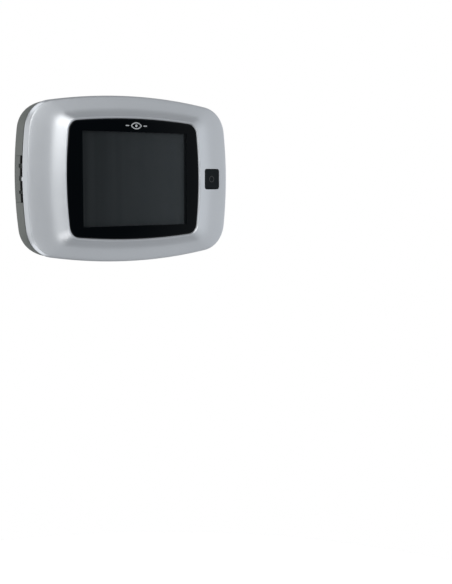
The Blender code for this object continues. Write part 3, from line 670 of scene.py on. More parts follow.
def add_bezel():
    hole = plate(*BUTTON_HOLE, 1.3, at(-2.0), at(6.0), (BUTTON_X, 0.0))
    low, high = node_box("lcd_panel")
    room = block((low.x - GAP, low.y - 1.0, low.z - GAP), (high.x + GAP, high.y, high.z + GAP), 0.0)
    shell = carved(loft(bezel_rings(), closed=True), hole, room)
    piece = Piece("bezel_shell", "silver_lacquer", "front_bezel").add(SILVER, shell)
    left = wall_x(0.0, 0.1)
    piece.add(SILVER, block((left, at(PARTING_D - 0.8), -0.9), (left + 1.4, at(PARTING_D + 1.2), 0.9), 0.3))
    post = [(1.0, at(4.0)), (2.3, at(4.0)), (2.3, at(6.6)), (2.1, at(6.8)), (1.1, at(6.8)), (1.0, at(6.7))]
    piece.add(SILVER, *(turned(post, place, 24) for place in BOSSES))
    piece.done()


def add_glass():
    """The cover glass: a polished plate, black printed round a clear window."""
    thick = 1.5
    chamfer = 0.18
    outer, front_edge = bulged_outline(GLASS), bulged_outline(GLASS, chamfer)
    left, right = MASK_WINDOW
    middle, half_w, half_h = (left + right) / 2, (right - left) / 2, PICTURE[1] / 2
    window, behind = [], []
    for x, z in outer:
        scale = min(half_w / max(abs(x), 1e-6), half_h / max(abs(z), 1e-6))
        window.append((middle + x * scale, z * scale))
        behind.append((middle + x * scale * 1.06, z * scale * 1.06))
    section = (
        (window, 0.0), (bulged_outline(GLASS, 2 * chamfer), 0.0), (front_edge, 0.0),
        (bulged_outline(GLASS, 0.05), 0.06), (outer, chamfer), (outer, thick - 0.1),
        (front_edge, thick), (behind, thick),
    )
    plate_form = loft([ring(outline, at(d)) for outline, d in section], closed=True)
    piece = Piece("display_glass_plate", "display_glass", "display_glass").add(MASK, plate_form)
    piece.add(WINDOW, slab(window, at(0.0), at(0.1)))
    piece.done(sharp=25.0)
    add_eye_mark()


def almond(half_w, half_h, centre, steps=16):
    """An eye-shaped outline made of two arcs."""
    radius = (half_w**2 + half_h**2) / (2 * half_h)
    turn = math.asin(half_w / radius)
    outline = []
    for side in (1, -1):
        middle = (centre[0], centre[1] - side * radius + side * half_h)
        outline += arc(middle, radius, side * math.pi / 2 - turn, side * math.pi / 2 + turn, steps)
    return outline


def add_eye_mark():
    """A plain eye with a dash on each side, printed on the glass above the picture."""
    centre = (0.6, 24.5)
    front, back = at(-0.02), at(0.03)
    outer, inner = almond(3.1, 1.6, centre), almond(2.45, 1.12, centre)
    lid = loft([ring(outer, front), ring(outer, back), ring(inner, back), ring(inner, front)], closed=True)
    pupil = cylinder(*centre, front, back, 0.62, 24)
    piece = Piece("glass_eye_mark", "silver_lacquer").add(MARK_SILVER, lid, pupil)
    for side in (-1, 1):
        piece.add(MARK_SILVER, plate(2.0, 0.5, 0.24, front, back, (centre[0] + side * 5.0, centre[1]), 4))
    piece.done()


def add_lcd():
    piece, low, high = piece_for("lcd_panel", "lcd_module", "lcd")
    piece.add(TINNED, block(low, high, 0.25))
    border = high - low - Vector((1.2, 0.0, 1.2))
    piece.add(SCREEN_EDGE, plate(border.x, border.z, 0.4, low.y - 0.03, low.y + 0.3))
    piece.add(SCREEN, plate(*PICTURE, 0.05, low.y - 0.05, low.y + 0.2, (PICTURE_X, 0.0), 2))
    for x in (-26.0, -9.0, 9.0, 26.0):
        piece.add(TINNED, pad(x, high.z - 0.9, 2.0, 0.5, high.y - 0.4, high.y + 0.05, 0.1))
    piece.done()


def add_lcd_holder():
    piece, low, high = piece_for("lcd_holder", "lcd_cradle", "black_plastic")
    inner_low, inner_high = node_box("lcd_panel")
    around = Vector((GAP, GAP, GAP))
    inner_low.y = low.y - 1.0 + GAP
    pocket = block(inner_low - around, inner_high + around, 0.0)
    opening = pad(0.0, 0.0, 30.0, 21.0, low.y - 1.0, high.y + 1.0, 0.0)
    piece.add(BLACK, eased(carved(block(low, high, 0.0), pocket, opening), 0.3))
    for x in (-33.0, 33.0):
        for z in (-18.0, -6.0, 6.0, 18.0):
            piece.add(BLACK, pad(x, z, 1.6, 0.4, high.y - 0.5, high.y, 0.1))
    piece.done()


def add_lcd_flex():
    piece, low, high = piece_for("lcd_flex", "lcd_flex_tail", "amber_film")
    middle = (low.y + high.y) / 2
    path = smooth_path([(middle, z) for z in (high.z, high.z - 2.0, low.z + 2.0, low.z)], 3)
    piece.add(FILM, strip(path, high.x - low.x, (high.y - low.y) * 0.5))
    piece.add(PRINT_GREY, block((low.x, low.y + 0.02, low.z), (high.x, middle + 0.1, low.z + 1.4), 0.04))
    piece.done()


def add_button():
    piece, low, high = piece_for("button_cap", "push_key", "black_plastic")
    wide, tall = (side - 2 * BUTTON_GAP for side in BUTTON_HOLE)
    centre = (BUTTON_X, 0.0)
    rings = []
    for inset, radius, d in (
        (0.0, 1.1, 4.0), (0.0, 1.1, 1.62), (0.06, 1.1, 1.42), (0.2, 1.0, 1.26), (0.45, 0.9, 1.2),
        (0.9, 0.7, 1.24), (1.7, 0.4, 1.31), (2.6, 0.4, 1.35), (3.5, 0.3, 1.36),
    ):
        rings.append(ring(rounded_outline(wide - 2 * inset, tall - 2 * inset, radius, 6, centre), at(d)))
    piece.add(KEY_BLACK, block((low.x, at(3.7), low.z), high, 0.15), loft(rings))
    mark = [(1.5, at(1.28)), (1.5, at(1.38)), (1.2, at(1.39)), (1.2, at(1.28))]
    piece.add(KEY_MARK, turned(mark, centre, 32))
    piece.done("button")
    piece, low, high = piece_for("switch_plunger", "switch_stem", "steel")
    radius = (high.x - low.x) / 2
    stem = [(radius - 0.25, low.y), (radius, low.y + 0.25), (radius, high.y - 0.1), (radius - 0.1, high.y)]
    piece.add(BLACK, turned(stem, centre, 32, closed=False)).done("button")
    add_switch()


def add_switch():
    piece, low, high = piece_for("switch_body", "tact_switch", "steel")
    bore = cylinder(BUTTON_X, 0.0, low.y - 1.0, high.y - 0.2, 1.9)
    piece.add(BLACK, eased(carved(block(low, high, 0.0), bore), 0.15))
    cover = block((low.x + 0.2, low.y - 0.02, low.z + 0.2), (high.x - 0.2, low.y + 0.2, high.z - 0.2), 0.05)
    piece.add(TINNED, carved(cover, cylinder(BUTTON_X, 0.0, low.y - 1.0, low.y + 1.0, 2.1)))
    rivet = [(0.45, low.y + 0.1), (0.45, low.y - 0.04), (0.3, low.y - 0.08)]
    for sx in (-1, 1):
        for z in (-2.3, 2.3):
            piece.add(BLACK, turned(rivet, (BUTTON_X + sx * 2.3, z), 16, closed=False))
            piece.add(TINNED, pad(BUTTON_X + sx * 3.25, z, 0.2, 0.35, low.y + 0.5, high.y + 0.2, 0.06))
    piece.done()


def housing_rings(wall):
    """The housing's section, from its back over the side to the front edge, and inside back to the floor."""
    outside = smooth_path(HOUSING_OUTSIDE, 3)[::-1] + list(HOUSING_LIP[::-1])
    floor = (HOUSING_OUTSIDE[-2][0] + 0.8, BACK_INSIDE_D)
    inside = (*HOUSING_LIP, *HOUSING_OUTSIDE[:-2], floor)
    return rings_of(BODY, outside) + rings_of(BODY, inside, wall)


def sound_holes():
    """Seven small holes over the buzzer."""
    low, high = node_box("buzzer")
    x, z = (low.x + high.x) / 2, (low.z + high.z) / 2
    turns = [k * math.pi / 3 for k in range(6)]
    places = [(x, z)] + [(x + 2.6 * math.cos(t), z + 2.6 * math.sin(t)) for t in turns]
    return [cylinder(*place, at(BACK_INSIDE_D - 1), at(UNIT_DEPTH + 1), 0.55, 16) for place in places]


def add_housing():
    front, end = at(BACK_INSIDE_D - 1.0), at(UNIT_DEPTH + 1.0)
    wide, tall, centre_z = CABLE_WINDOW
    tools = [plate(wide, tall, 1.2, front, end, (0.0, centre_z), 5)]
    low, high = node_box("battery_lid")
    lid_high = high.z - low.z - LID_TAB
    lid_centre = ((low.x + high.x) / 2, high.z - lid_high / 2)
    tools.append(plate(high.x - low.x + 2 * GAP, lid_high + 2 * GAP, 0.8, front, end, lid_centre, 4))
    slot_high = 6.0 + 1.2 + 2 * GAP  # the lift, a hook's step and room
    for x, top in HOOKS:
        tools.append(plate(5.0, slot_high, 0.5, front, end, (x, top + GAP - slot_high / 2), 4))
    tools.append(pad(2.0 - BODY[0], 0.0, 4.0, PORT_HALF_HEIGHT, at(PARTING_D - 1.0), at(12.3), 0.0))
    tools += [cylinder(x, z, at(12.8), end, 2.1, 32) for x, z in BOSSES]
    shell = carved(loft(housing_rings(HOUSING_WALL)), *tools, *sound_holes())
    piece = Piece("housing_shell", "grey_plastic", "rear_housing").add(HOUSING_GREY, shell)
    section = ((1.1, 8.6), (2.6, 8.6), (2.6, 13.6), (2.15, 13.6), (2.15, 12.8), (1.1, 12.8))
    boss = [(radius, at(d)) for radius, d in section]
    piece.add(HOUSING_GREY, *(turned(boss, place, 32) for place in BOSSES))
    for x0, x1, z in ((-40.0, -18.0, -4.0), (-40.0, -18.0, 8.0), (-6.0, 6.0, 30.0)):
        piece.add(HOUSING_GREY, block((x0, at(12.2), z - 0.4), (x1, at(13.5), z + 0.4), 0.1))  # a rib
    piece.done(sharp=30.0)


def port_notches():
    """Cutters for the port cover's front edge: a nail notch in the middle, and two slots."""
    front = COVER_D[0]
    tools = []
    for low_z, high_z, deep, edge in ((-0.9, 1.5, 1.5, 0.45), (4.9, 6.7, 1.9, 0.1), (-6.4, -5.0, 1.9, 0.1)):
        x = wall_x((low_z + high_z) / 2, 0.4)
        tools.append(block((x - 2.0, at(front - 1.0), low_z), (x + 1.0, at(front + deep), high_z), edge))
    return tools


def port_lip_and_slit_shade():
    """A black rubber lip inside the port cover's front edge. Where it lines the back of the slit, its black
    is painted shade.
    """
    section = ((0.62, 7.25), (0.62, 6.9), (1.35, 6.9), (1.35, 5.7), (1.7, 5.7), (1.7, 7.25))
    return loft(rings_of(BODY, section), closed=True)


def add_port_cover():
    front, back = COVER_D
    half_z = PORT_HALF_HEIGHT - 0.1
    low_x, high_x = -BODY[0] - 2.0, -BODY[0] + 6.0

    def kept(form, first):
        room = block((low_x, at(first), -half_z), (high_x, at(back), half_z), 0.0)
        return carved(form, room, operation="INTERSECT")

    left = wall_x(half_z, 0.4)
    groove = block((low_x, at(front - 1.0), -half_z - 1.0), (left + 1.2, at(front + 0.8), half_z + 1.0), 0.0)
    piece = Piece("port_door", "grey_plastic", "side_port_cover")
    piece.add(COVER_GREY, carved(kept(loft(housing_rings(COVER_WALL)), front), groove, *port_notches()))
    # The black lip at the back of the slit stands in for the slit's shade: painted shade.
    piece.add(RUBBER, carved(kept(port_lip_and_slit_shade(), front - 1.0), *port_notches()))
    for z in (-8.6, 8.6):
        x = wall_x(z, 0.95) + 1.0
        piece.add(COVER_GREY, tube([(x, at(11.6), z - 1.0), (x, at(11.6), z + 1.0)], 0.5, 12))
    piece.done("port_cover", sharp=30.0)


def add_socket(node, name, mouth_deep, wall):
    """A pressed sheet shell, open to the left, with two solder ears and a folded seam."""
    piece, low, high = piece_for(node, name, "steel")
    x, front, back = low.x, low.y, high.y
    mouth = block((x - 1.0, front + wall, low.z + wall), (x + mouth_deep, back - wall, high.z - wall), 0.0)
    piece.add(TINNED, eased(carved(block(low, high, 0.0), mouth), 0.12))
    for z in (low.z + 1.2, high.z - 1.2):
        piece.add(TINNED, block((x + 2.5, front - 0.1, z - 0.4), (x + 3.7, front + 0.4, z + 0.4), 0.08))
    for left in (x + 1.6, x + 3.4):
        seam = block((left, back - 0.05, low.z + 1.6), (left + 1.0, back + 0.06, high.z - 1.6), 0.04)
        piece.add(TINNED, seam)
    return piece, low, high


def add_sockets():
    add_socket("usb_socket", "usb_shell", 4.4, 0.35)[0].done()
    piece, low, high = piece_for("usb_tongue", "usb_tongue_insert", "black_plastic")
    piece.add(BLACK, block(low, high, 0.1))
    front, left, right = low.y, low.x + 0.1, high.x - 0.1
    for k in range(5):
        z = low.z + 0.45 + k * (high.z - low.z - 0.9) / 4
        piece.add(GOLD, block((left, front - 0.03, z - 0.13), (right, front + 0.1, z + 0.13), 0.02))
    piece.done()
    piece, low, high = add_socket("card_slot", "card_shell", 12.5, 0.4)
    front, left, right = low.y, high.x - 2.2, high.x - 0.4
    for k in range(8):
        z = low.z + 1.4 + k * (high.z - low.z - 2.8) / 7
        piece.add(GOLD, block((left, front - 0.05, z - 0.2), (right, front + 0.5, z + 0.2), 0.03))
    piece.done()


def add_board():
    piece, low, high = piece_for("circuit_board", "main_board", "circuit_board")
    face = high.y
    holes = [cylinder(x, z, low.y - 1, face + 1, 1.4, 24) for x, z in BOSSES]
    piece.add(BOARD, carved(slab(bulged_outline(BODY, 5.4), low.y, face), *holes))
    land = [(1.42, face - 0.1), (2.4, face - 0.1), (2.4, face + 0.04), (1.42, face + 0.04)]
    piece.add(GOLD, *(turned(land, place, 32) for place in BOSSES))
    chips = ((-10.0, 14.0, 11.0, 1.2), (4.0, 20.0, 7.0, 1.0), (-8.0, -27.0, 6.0, 0.9), (-20.0, 4.0, 8.0, 1.1))
    for x, z, side, tall in chips:
        add_chip(piece, x, z, side, face, tall)
    for k in range(9):
        x = -2.0 + 2.2 * (k % 3) + 6.0
        z = 10.0 - 1.6 * (k // 3)
        piece.add(CERAMIC, pad(x, z, 0.5, 0.3, face - 0.05, face + 0.5, 0.06))
        for end in (-0.5, 0.5):
            piece.add(TINNED, pad(x + end, z, 0.14, 0.32, face - 0.05, face + 0.52, 0.05))
    piece.add(TINNED, plate(6.0, 2.6, 1.2, face - 0.05, face + 1.6, (4.0, 28.5), 6, 0.2))
    piece.done()


def add_chip(piece, x, z, side, face, tall):
    """A square chip with a row of leads on its two upright sides."""
    half = side / 2
    top = face + tall
    piece.add(CHIP, pad(x, z, half, half, face + 0.1, top, 0.12))
    piece.add(PRINT_GREY, cylinder(x - half + 0.9, z + half - 0.9, top - 0.02, top + 0.01, 0.3, 16))
    count = int(side / 0.9)
    for k in range(count):
        for edge in (-1, 1):
            lead = (x + edge * (half + 0.3), z - half + (k + 0.5) * side / count)
            piece.add(TINNED, pad(*lead, 0.35, 0.15, face - 0.03, face + 0.35, 0.05))


def add_board_parts():
    piece, low, high = piece_for("shield_can", "shield_cover", "steel")
    piece.add(TINNED, eased(block(low, high, 0.0), 0.35, 3))
    for i in range(6):
        for j in range(5):
            x, z = low.x + 4.5 + 3.0 * i, low.z + 4.0 + 3.0 * j
            piece.add(BLACK, cylinder(x, z, high.y - 0.05, high.y + 0.01, 0.4, 12))
    piece.done()
    piece, low, high = piece_for("buzzer", "buzzer_can", "black_plastic")
    centre = ((low.x + high.x) / 2, (low.z + high.z) / 2)
    radius, end = (high.x - low.x) / 2, high.y
    can = [
        (radius - 0.2, low.y), (radius, low.y + 0.2), (radius, end - 0.5), (radius - 0.15, end - 0.15),
        (radius - 0.5, end), (1.5, end), (1.3, end - 0.1), (1.2, end - 0.8),
    ]
    label = [(2.6, end - 0.02), (4.6, end - 0.02), (4.6, end + 0.01), (2.6, end + 0.01)]
    piece.add(BLACK, turned(can, centre, 48, closed=False)).add(PRINT_GREY, turned(label, centre, 48))
    piece.done()
    add_connector()


def add_connector():
    piece, low, high = piece_for("camera_connector", "ribbon_socket", "black_plastic")
    middle = (low.y + high.y) / 2
    slot = block((-3.4, middle - 0.5, high.z - 3.4), (3.4, middle + 0.5, high.z + 1), 0.0)
    piece.add(BLACK, eased(carved(block(low, high, 0.0), slot), 0.15))
    for k in range(12):
        x = -3.05 + k * 6.1 / 11
        pin = block((x - 0.1, low.y + 0.1, low.z - 0.5), (x + 0.1, low.y + 0.35, low.z + 0.3), 0.03)
        piece.add(GOLD, pin)
    latch = block((low.x + 0.3, high.y - 0.5, high.z - 1.0), (high.x - 0.3, high.y + 0.1, high.z - 0.2), 0.12)
    piece.add(PRINT_GREY, latch).done()


def add_battery():
    piece, low, high = piece_for("battery_pack", "battery_cell", "battery_wrap")
    x, z, face = (low.x + high.x) / 2, (low.z + high.z) / 2, high.y
    piece.add(WRAP, plate(high.x - low.x, high.z - low.z, 1.6, low.y, face, (x, z), 6, 0.7))
    cap = block((low.x + 1.0, low.y + 0.5, low.z - 0.02), (high.x - 1.0, face - 0.5, low.z + 1.2), 0.3)
    piece.add(BLACK, cap)
    left, right = x - 3.4, x + 3.4
    for px in (left, x, right):
        contact = block((px - 1.0, low.y + 0.9, low.z - 0.05), (px + 1.0, face - 0.9, low.z + 0.2), 0.04)
        piece.add(GOLD, contact)
    for px, half_x, half_z in ((left, 0.8, 0.15), (left, 0.15, 0.8), (right, 0.8, 0.15)):
        bar = pad(px, low.z + 5.05, half_x, half_z, face - 0.02, face + 0.01, 0.0)
        piece.add(PRINT_GREY, bar)  # of a plus or a minus
    piece.done()
    piece, low, high = piece_for("contact_block", "contact_holder", "black_plastic")
    piece.add(BLACK, eased(block(low, high, 0.0), 0.25)).done()
    for number in (1, 2, 3):
        piece, low, high = piece_for(f"battery_contact_{number}", f"contact_spring_{number}", "gold")
        y = (low.y + high.y) / 2
        path = [
            (low.y + 0.15, low.z), (y - 0.3, low.z + 0.35), (y, high.z), (y + 0.3, low.z + 0.35),
            (high.y - 0.15, low.z),
        ]
        spring = strip(smooth_path(path, 4), high.x - low.x, 0.18, (low.x + high.x) / 2)
        piece.add(GOLD, spring).done()


def add_battery_door():
    piece, low, high = piece_for("battery_lid", "battery_door", "grey_plastic")
    x = (low.x + high.x) / 2
    bottom = low.z + LID_TAB
    inside, outside = at(BACK_INSIDE_D), at(UNIT_DEPTH)
    lid = plate(high.x - low.x, high.z - bottom, 0.6, inside, outside, (x, (high.z + bottom) / 2), 4, 0.12)
    grips = []
    for k in range(5):
        grips.append(pad(x, high.z - 4.0 - 1.5 * k, 5.5 - 0.7 * k, 0.35, outside - 0.35, outside + 1.0, 0.15))
    piece.add(HOUSING_GREY, carved(lid, *grips))
    for tab_x in (x - 9.0, x + 9.0):
        for back, foot in ((inside - GAP, low.z), (inside + 0.4, bottom + 0.4)):
            tab = block((tab_x - 2.5, low.y, foot), (tab_x + 2.5, back, bottom + 2.0), 0.12)
            piece.add(HOUSING_GREY, tab)
    foot, top = bottom + 4.0, high.z - 3.0
    for rib_x in (x - 10.0, x, x + 10.0):
        rib = block((rib_x - 0.4, inside - 0.25, foot), (rib_x + 0.4, inside + 0.2, top), 0.1)
        piece.add(HOUSING_GREY, rib)
    piece.done("battery_cover", sharp=30.0)


def cross_recess(x, z, face):
    """The cutter for a screw's cross."""
    arms = []
    for half_x, half_z in ((1.15, 0.26), (0.26, 1.15)):
        corners = [(sx * half_x, sz * half_z) for sx, sz in ((-1, -1), (1, -1), (1, 1), (-1, 1))]
        rings = []
        for share_x, share_z, y in ((0.4, 0.7, face - 0.75), (1.0, 1.0, face + 0.5)):
            rings.append(ring([(x + cx * share_x, z + cz * share_z) for cx, cz in corners], y))
        arms.append(loft(rings))
    return arms


def add_screws():
    for number, place in enumerate(BOSSES, 1):
        piece, low, high = piece_for(f"housing_screw_{number}", f"cover_screw_{number}", "steel")
        top = high.y
        start = top - 1.1
        head = [
            (1.0, start - 0.02), (1.75, start), (1.8, start + 0.1), (1.8, top - 0.45),
            (1.68, top - 0.2), (1.4, top - 0.05), (0.9, top), (0.4, top),
        ]
        piece.add(ZINC, carved(turned(head, place, 40, closed=False), *cross_recess(*place, top)))
        piece.add(ZINC, thread(low.y, start + 0.3, 0.68, 0.9, 0.7, place, 20, True))
        piece.done()


def thread(start, end, root, crest, pitch, centre=(0.0, 0.0), around=48, pointed=False):
    """A screw thread round Y: a tube's surface whose radius follows a helix."""
    rows = max(2, int((end - start) / pitch * 10))
    rings = []
    for i in range(rows + 1):
        y = start + (end - start) * i / rows
        taper = min(1.0, 0.15 + (y - start) / 1.6) if pointed else 1.0
        fade = 1.0 if pointed else max(0.0, min(1.0, (y - start) / 0.8, (end - y) / 0.8))
        points = []
        for k in range(around):
            turn = 2 * math.pi * k / around
            phase = ((y - start) / pitch - k / around) % 1.0
            rise = min(1.0, max(0.0, 1.0 - abs(phase - 0.5) / 0.34) * 1.35)
            radius = (root + (crest - root) * rise * fade) * taper
            x, z = centre[0] + radius * math.cos(turn), centre[1] + radius * math.sin(turn)
            points.append(Vector((x, y, z)))
        rings.append(points)
    return loft(rings, caps=pointed)


# Door side


def add_bracket():
    holes = [cylinder(0.0, 0.0, -3.0, 2.0, DOOR_BORE_R, 64)]
    sink = [(2.6, -2.0), (2.6, -1.25), (1.7, -0.35), (1.7, 1.0)]
    holes += [turned(sink, (0.0, z), 40, closed=False) for z in (25.5, -25.5)]
    holes += [plate(2.6, 10.0, 1.29, -3.0, 2.0, (x, 3.5), 8) for x in (-11.5, 11.5)]
    flat = plate(*BRACKET, 3.0, -1.0, 0.0, (0.0, 0.0), 8, 0.12)
    piece = Piece("hook_plate", "steel", "door_bracket").add(STEEL, carved(flat, *holes))
    lip = at(BACK_INSIDE_D) - GAP - 0.5  # its middle
    corner = 0.9
    for x, top in HOOKS:
        z = top - 0.6
        bend = [
            (lip + corner * (1 - math.sin(t)), z + corner * (1 - math.cos(t)))
            for t in (0.0, 0.4, 0.8, 1.2, math.pi / 2)
        ]
        path = [(-0.3, z), (-1.2, z), *bend, (lip, top + 2.0), (lip, top + 4.2), (lip + 0.12, top + 4.5)]
        piece.add(STEEL, eased(strip(path, 4.0, 1.0, x), 0.18, 2, 60.0))
    piece.done("door_side", sharp=30.0)


def add_sleeve():
    front, back, end = -2.3, -1.3, 28.0
    profile = [
        (10.7, front), (10.93, front + 0.12), (11.0, front + 0.3), (11.0, back - 0.12), (10.9, back),
        (7.3, back), (7.0, back + 0.3), (7.0, end - 0.5), (6.8, end), (6.45, end), (6.25, end - 0.3),
        (6.25, front + 0.5), (6.7, front),
    ]
    notches = [pad(x, 0.0, 1.3, 1.2, front - 1.0, back + 0.15, 0.0) for x in (-10.7, 10.7)]
    notches += [pad(0.0, z, 1.2, 1.3, front - 1.0, front + 0.45, 0.0) for z in (-10.7, 10.7)]
    piece = Piece("clamp_tube", "steel", "clamp_sleeve").add(ZINC, carved(turned(profile), *notches))
    piece.done("clamp", sharp=30.0)


def add_barrel():
    piece, low, high = piece_for("door_barrel", "threaded_barrel", "satin_chrome")
    start, end, bore = low.y, high.y, 4.6
    barrel = thread(start + 0.6, end - 2.2, 5.62, 5.98, THREAD_PITCH, around=64)
    for profile in (
        [(bore, start + 0.3), (4.85, start), (5.4, start), (5.62, start + 0.6)],
        [(5.62, end - 2.2), (6.0, end - 2.0), (6.0, end), (bore, end)],
        [(bore, start + 0.3), (bore, end)],
    ):
        merge(barrel, turned(profile, steps=64, closed=False, caps=False))
    bmesh.ops.remove_doubles(barrel, verts=barrel.verts, dist=MERGE)
    bmesh.ops.recalc_face_normals(barrel, faces=barrel.faces)
    piece.add(CHROME, barrel).done("outdoor_camera", sharp=50.0)


def add_gasket():
    piece, low, high = piece_for("outdoor_gasket", "seal_ring", "rubber")
    y = high.y
    profile = [(12.45, low.y), (12.6, low.y + 0.15), (12.6, y - 0.15), (12.45, y)]
    radius = 12.0
    while radius > 7.2:
        profile += [(radius, y), (radius - 0.2, y - 0.15), (radius - 0.5, y - 0.15), (radius - 0.7, y)]
        radius -= 1.4
    profile += [(6.6, y), (6.6, low.y)]
    piece.add(RUBBER, turned(profile)).done("outdoor_camera", sharp=30.0)


def add_head():
    piece, low, high = piece_for("camera_head", "rosette", "satin_chrome")
    back, front = low.y, high.y
    trim_thick, window_thick = 1.0, 0.8
    shelf = front - trim_thick - window_thick - 2 * GAP
    shoulder = smooth_path([
        (14.0, back + 1.6), (13.75, back + 2.1), (12.9, back + 2.9), (12.0, back + 4.6),
        (11.0, front - 1.1), (10.3, front - 0.25), (9.9, front),
    ], 5)
    profile = [
        (13.7, back), (13.9, back + 0.1), (14.0, back + 0.3), *((p.x, p.y) for p in shoulder),
        (9.7, front), (9.6, front - 0.1), (9.6, front - trim_thick), (7.4, front - trim_thick),
        (7.4, shelf), (6.4, shelf), (6.4, 43.5), (6.3, 43.5), (6.3, back),
    ]
    piece.add(CHROME, turned(profile, steps=96)).done("outdoor_camera", sharp=40.0)
    piece, low, high = piece_for("lens_trim_ring", "trim_ring", "black_plastic")
    profile = [
        (9.2, low.y), (9.2, front - 0.05), (9.1, front + 0.12), (8.8, high.y), (8.2, high.y - 0.02),
        (7.2, high.y - 0.15), (6.2, front - 0.05), (5.75, front - 0.1), (5.6, front - 0.25), (5.6, low.y),
    ]
    piece.add(BLACK, turned(profile, steps=96)).done("outdoor_camera", sharp=30.0)
    piece, low, high = piece_for("lens_window", "window_pane", "lens_glass")
    pane = [(6.85, low.y), (7.0, low.y + 0.12), (7.0, high.y - 0.15), (6.85, high.y)]
    piece.add(OUTDOOR_WINDOW, turned(pane, closed=False, steps=64)).done("outdoor_camera", sharp=30.0)


def add_camera_module():
    piece, low, high = piece_for("camera_module", "sensor_board", "circuit_board")
    piece.add(BOARD, block(low, (high.x, low.y + 0.7, high.z), 0.08))
    piece.add(BLACK, plate(7.6, 7.6, 0.8, low.y + 0.68, high.y, edge=0.1))
    for x in (-3.95, 3.95):
        for z in (-3.95, 3.95):
            piece.add(GOLD, cylinder(x, z, low.y + 0.6, low.y + 0.73, 0.25, 16))
    piece.done("outdoor_camera")
    piece, low, high = piece_for("camera_lens", "lens_stack", "lens_glass")
    top = high.y
    barrel = [
        (3.3, low.y), (3.6, low.y + 0.15), (3.6, top - 0.25), (3.45, top - 0.1), (2.5, top - 0.15),
        (2.2, top - 0.5), (2.15, top - 0.6), (2.15, low.y),
    ]
    turns = [k / 8 * math.pi / 2 for k in range(8)]
    dome = [(2.2 * math.cos(t), top - 0.62 + 0.55 * math.sin(t)) for t in turns]
    piece.add(BLACK, turned(barrel, steps=64)).add(LENS, turned(dome, steps=48, closed=False))
    piece.done("outdoor_camera", sharp=30.0)


def add_ribbon():
    """The camera's flat cable: a length in the door, and a bent length that runs to the unit's connector."""
    low, high = node_box("camera_connector")
    slot_y, top = (low.y + high.y) / 2, high.z
    inside = [(42.6, 0.0), (20.0, 0.0), (0.0, 0.0)]
    bend = [(0.0, 0.0), (-3.2, -0.5), (slot_y + 1.7, -2.4), (slot_y + 0.3, -4.6), (slot_y, top - 2.6)]
    made = []
    for name, path in (("ribbon_in_door", inside), ("ribbon_to_unit", bend)):
        film = strip(smooth_path(path, 8), 6.0, 0.22)
        made.append(Piece(name, "amber_film", "camera_ribbon").add(FILM, film).done(None))
    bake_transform(made[0])
    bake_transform(made[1])


# Studio


def add_light(name, place, size, power, colour):
    """A panel light that faces the display."""
    data = bpy.data.lights.new(name, "AREA")
    data.shape = "RECTANGLE"
    data.size, data.size_y = size
    data.energy = power
    data.color = colour
    light = new_object(name, data)
    light.location = place
    light.visible_camera = False
    light.rotation_euler = (AIM_POINT - Vector(place)).to_track_quat("-Z", "Y").to_euler()


def add_skylight(floor):
    """A soft light straight down on the floor alone, which keeps it evenly pale."""
    data = bpy.data.lights.new("skylight", "SUN")
    data.energy = 2.6
    data.angle = math.radians(50.0)
    lit = bpy.data.collections.new("lit_by_skylight")
    lit.objects.link(floor)
    new_object("skylight", data).light_linking.receiver_collection = lit


def add_floor():
    mesh = bpy.data.meshes.new("studio_floor")
    form = bmesh.new()
    bmesh.ops.create_circle(form, cap_ends=True, segments=96, radius=0.4)
    form.to_mesh(mesh)
    form.free()
    floor = new_object("studio_floor", mesh)
    floor.location = (0.0, 0.0, -0.3)
    finish = Finish("studio_paper", 0.8)
    fibre = finish.noise(4.0, 3.0)
    finish.colour(fibre, (0.9, 0.9, 0.9), (0.94, 0.94, 0.94)).rough(fibre, 0.75, 0.85)
    mesh.materials.append(finish.material)
    floor.visible_glossy = False
    floor.visible_diffuse = False
    return floor


def add_world():
    """White behind the object. Reflections see a grey room, darker overhead and brighter to the right."""
    world = bpy.data.worlds.new("studio_room")
    bpy.context.scene.world = world
    world.use_nodes = True
    tree = world.node_tree
    tree.nodes.clear()
    place = add_node(tree, "ShaderNodeTexCoord").outputs["Generated"]
    parts = add_node(tree, "ShaderNodeSeparateXYZ")
    tree.links.new(place, parts.inputs["Vector"])
    toward = add_node(tree, "ShaderNodeVectorMath")
    toward.operation = "DOT_PRODUCT"
    toward.inputs[1].default_value = FLAG_DIRECTION
    tree.links.new(place, toward.inputs[0])
    strength = ramped(tree, parts.outputs["Z"], 0.59, 0.22, 0.16, 0.5)
    # What it follows, the strength at either end, and where it starts and ends
    for ramp in (
        (parts.outputs["Z"], 0.5, 1.0, -0.5, -0.2),
        (parts.outputs["X"], 0.8, 1.9, 0.2, 1.0),
        (toward.outputs["Value"], 1.0, FLAG_TONE, FLAG_EDGE, FLAG_CORE),
    ):
        product = add_node(tree, "ShaderNodeMath")
        product.operation = "MULTIPLY"
        tree.links.new(strength, product.inputs[0])
        tree.links.new(ramped(tree, *ramp), product.inputs[1])
        strength = product.outputs["Value"]
    room = add_node(tree, "ShaderNodeBackground", Color=(0.96, 0.98, 1.0, 1.0))
    tree.links.new(strength, room.inputs["Strength"])
    white = add_node(tree, "ShaderNodeBackground", Color=(1.0, 1.0, 1.0, 1.0), Strength=1.0)
    chooser = add_node(tree, "ShaderNodeMixShader")
    seen = add_node(tree, "ShaderNodeLightPath").outputs["Is Camera Ray"]
    sources = (seen, room.outputs["Background"], white.outputs["Background"])
    for source, socket in zip(sources, chooser.inputs):
        tree.links.new(source, socket)
    tree.links.new(chooser.outputs["Shader"], add_node(tree, "ShaderNodeOutputWorld").inputs["Surface"])


# A black flag, as a photographer sets one up, where a flat glass would mirror the room
FLAG_AZIMUTH = math.radians(30.5)
FLAG_DIRECTION = (math.sin(FLAG_AZIMUTH), -math.cos(FLAG_AZIMUTH), 0.0)
FLAG_EDGE = math.cos(math.radians(13.0))
FLAG_CORE = math.cos(math.radians(4.5))
FLAG_TONE = 0.04

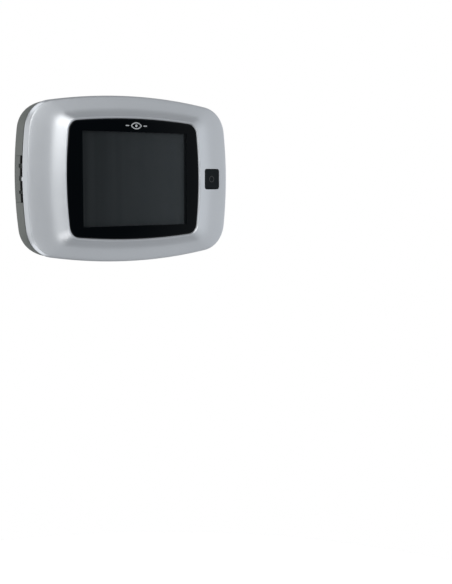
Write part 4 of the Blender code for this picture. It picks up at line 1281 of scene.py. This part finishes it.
CAMERA_TURN = math.radians(-34.74)
CAMERA_DISTANCE = 0.5304
CAMERA_LENS = 69.95
AIM_YAW = math.radians(-4.526)
AIM_PITCH = math.radians(-5.68)
AIM_POINT = Vector((0.0, GLASS_Y * 0.001, 0.0))  # the middle of the glass

WARM, WARMER, NEUTRAL = (1.0, 0.985, 0.95), (1.0, 0.97, 0.93), (1.0, 1.0, 1.0)
STUDIO_LIGHTS = (  # name, place, size, power in watts, colour
    ("front_softbox", (0.03, -1.1, 0.42), (0.45, 0.7), 3.5, WARM),
    ("low_softbox", (0.05, -1.12, -0.36), (0.28, 0.28), 0.85, WARMER),
    ("floor_card", (-0.12, -0.01, -0.29), (0.4, 0.26), 0.45, NEUTRAL),
    ("top_panel", (-0.36, 0.1, 0.95), (1.2, 0.7), 4.1, NEUTRAL),
    ("edge_strip", (-0.9, -0.75, 0.05), (0.12, 0.7), 0.45, NEUTRAL),
    ("left_panel", (-1.15, -0.15, 0.0), (1.3, 2.4), 6.0, WARM),
    ("rear_panel", (-0.8, 0.95, 0.1), (0.9, 0.9), 2.2, WARM),
)


def add_camera():
    """Stands to the left of the display's middle, and aims off it as the framing needs."""
    place = AIM_POINT + Vector((math.sin(CAMERA_TURN), -math.cos(CAMERA_TURN), 0.0)) * CAMERA_DISTANCE
    ahead = (AIM_POINT - place).normalized()
    heading = math.atan2(ahead.y, ahead.x) + AIM_YAW
    level = math.cos(AIM_PITCH)
    aim = Vector((math.cos(heading) * level, math.sin(heading) * level, math.sin(AIM_PITCH)))
    data = bpy.data.cameras.new("camera")
    data.lens = CAMERA_LENS
    data.sensor_width = 36.0
    data.clip_start = 0.01
    data.clip_end = 30.0
    camera = new_object("camera", data)
    camera.location = place
    camera.rotation_euler = aim.to_track_quat("-Z", "Y").to_euler()
    bpy.context.scene.camera = camera


def add_studio():
    add_world()
    add_skylight(add_floor())
    for light in STUDIO_LIGHTS:
        add_light(*light)
    bpy.context.scene.view_settings.view_transform = "Standard"


add_bezel()
add_glass()
add_lcd()
add_lcd_holder()
add_lcd_flex()
add_button()
add_housing()
add_port_cover()
add_sockets()
add_board()
add_board_parts()
add_battery()
add_battery_door()
add_screws()
add_bracket()
add_sleeve()
add_barrel()
add_gasket()
add_head()
add_camera_module()
add_ribbon()
add_camera()
add_studio()
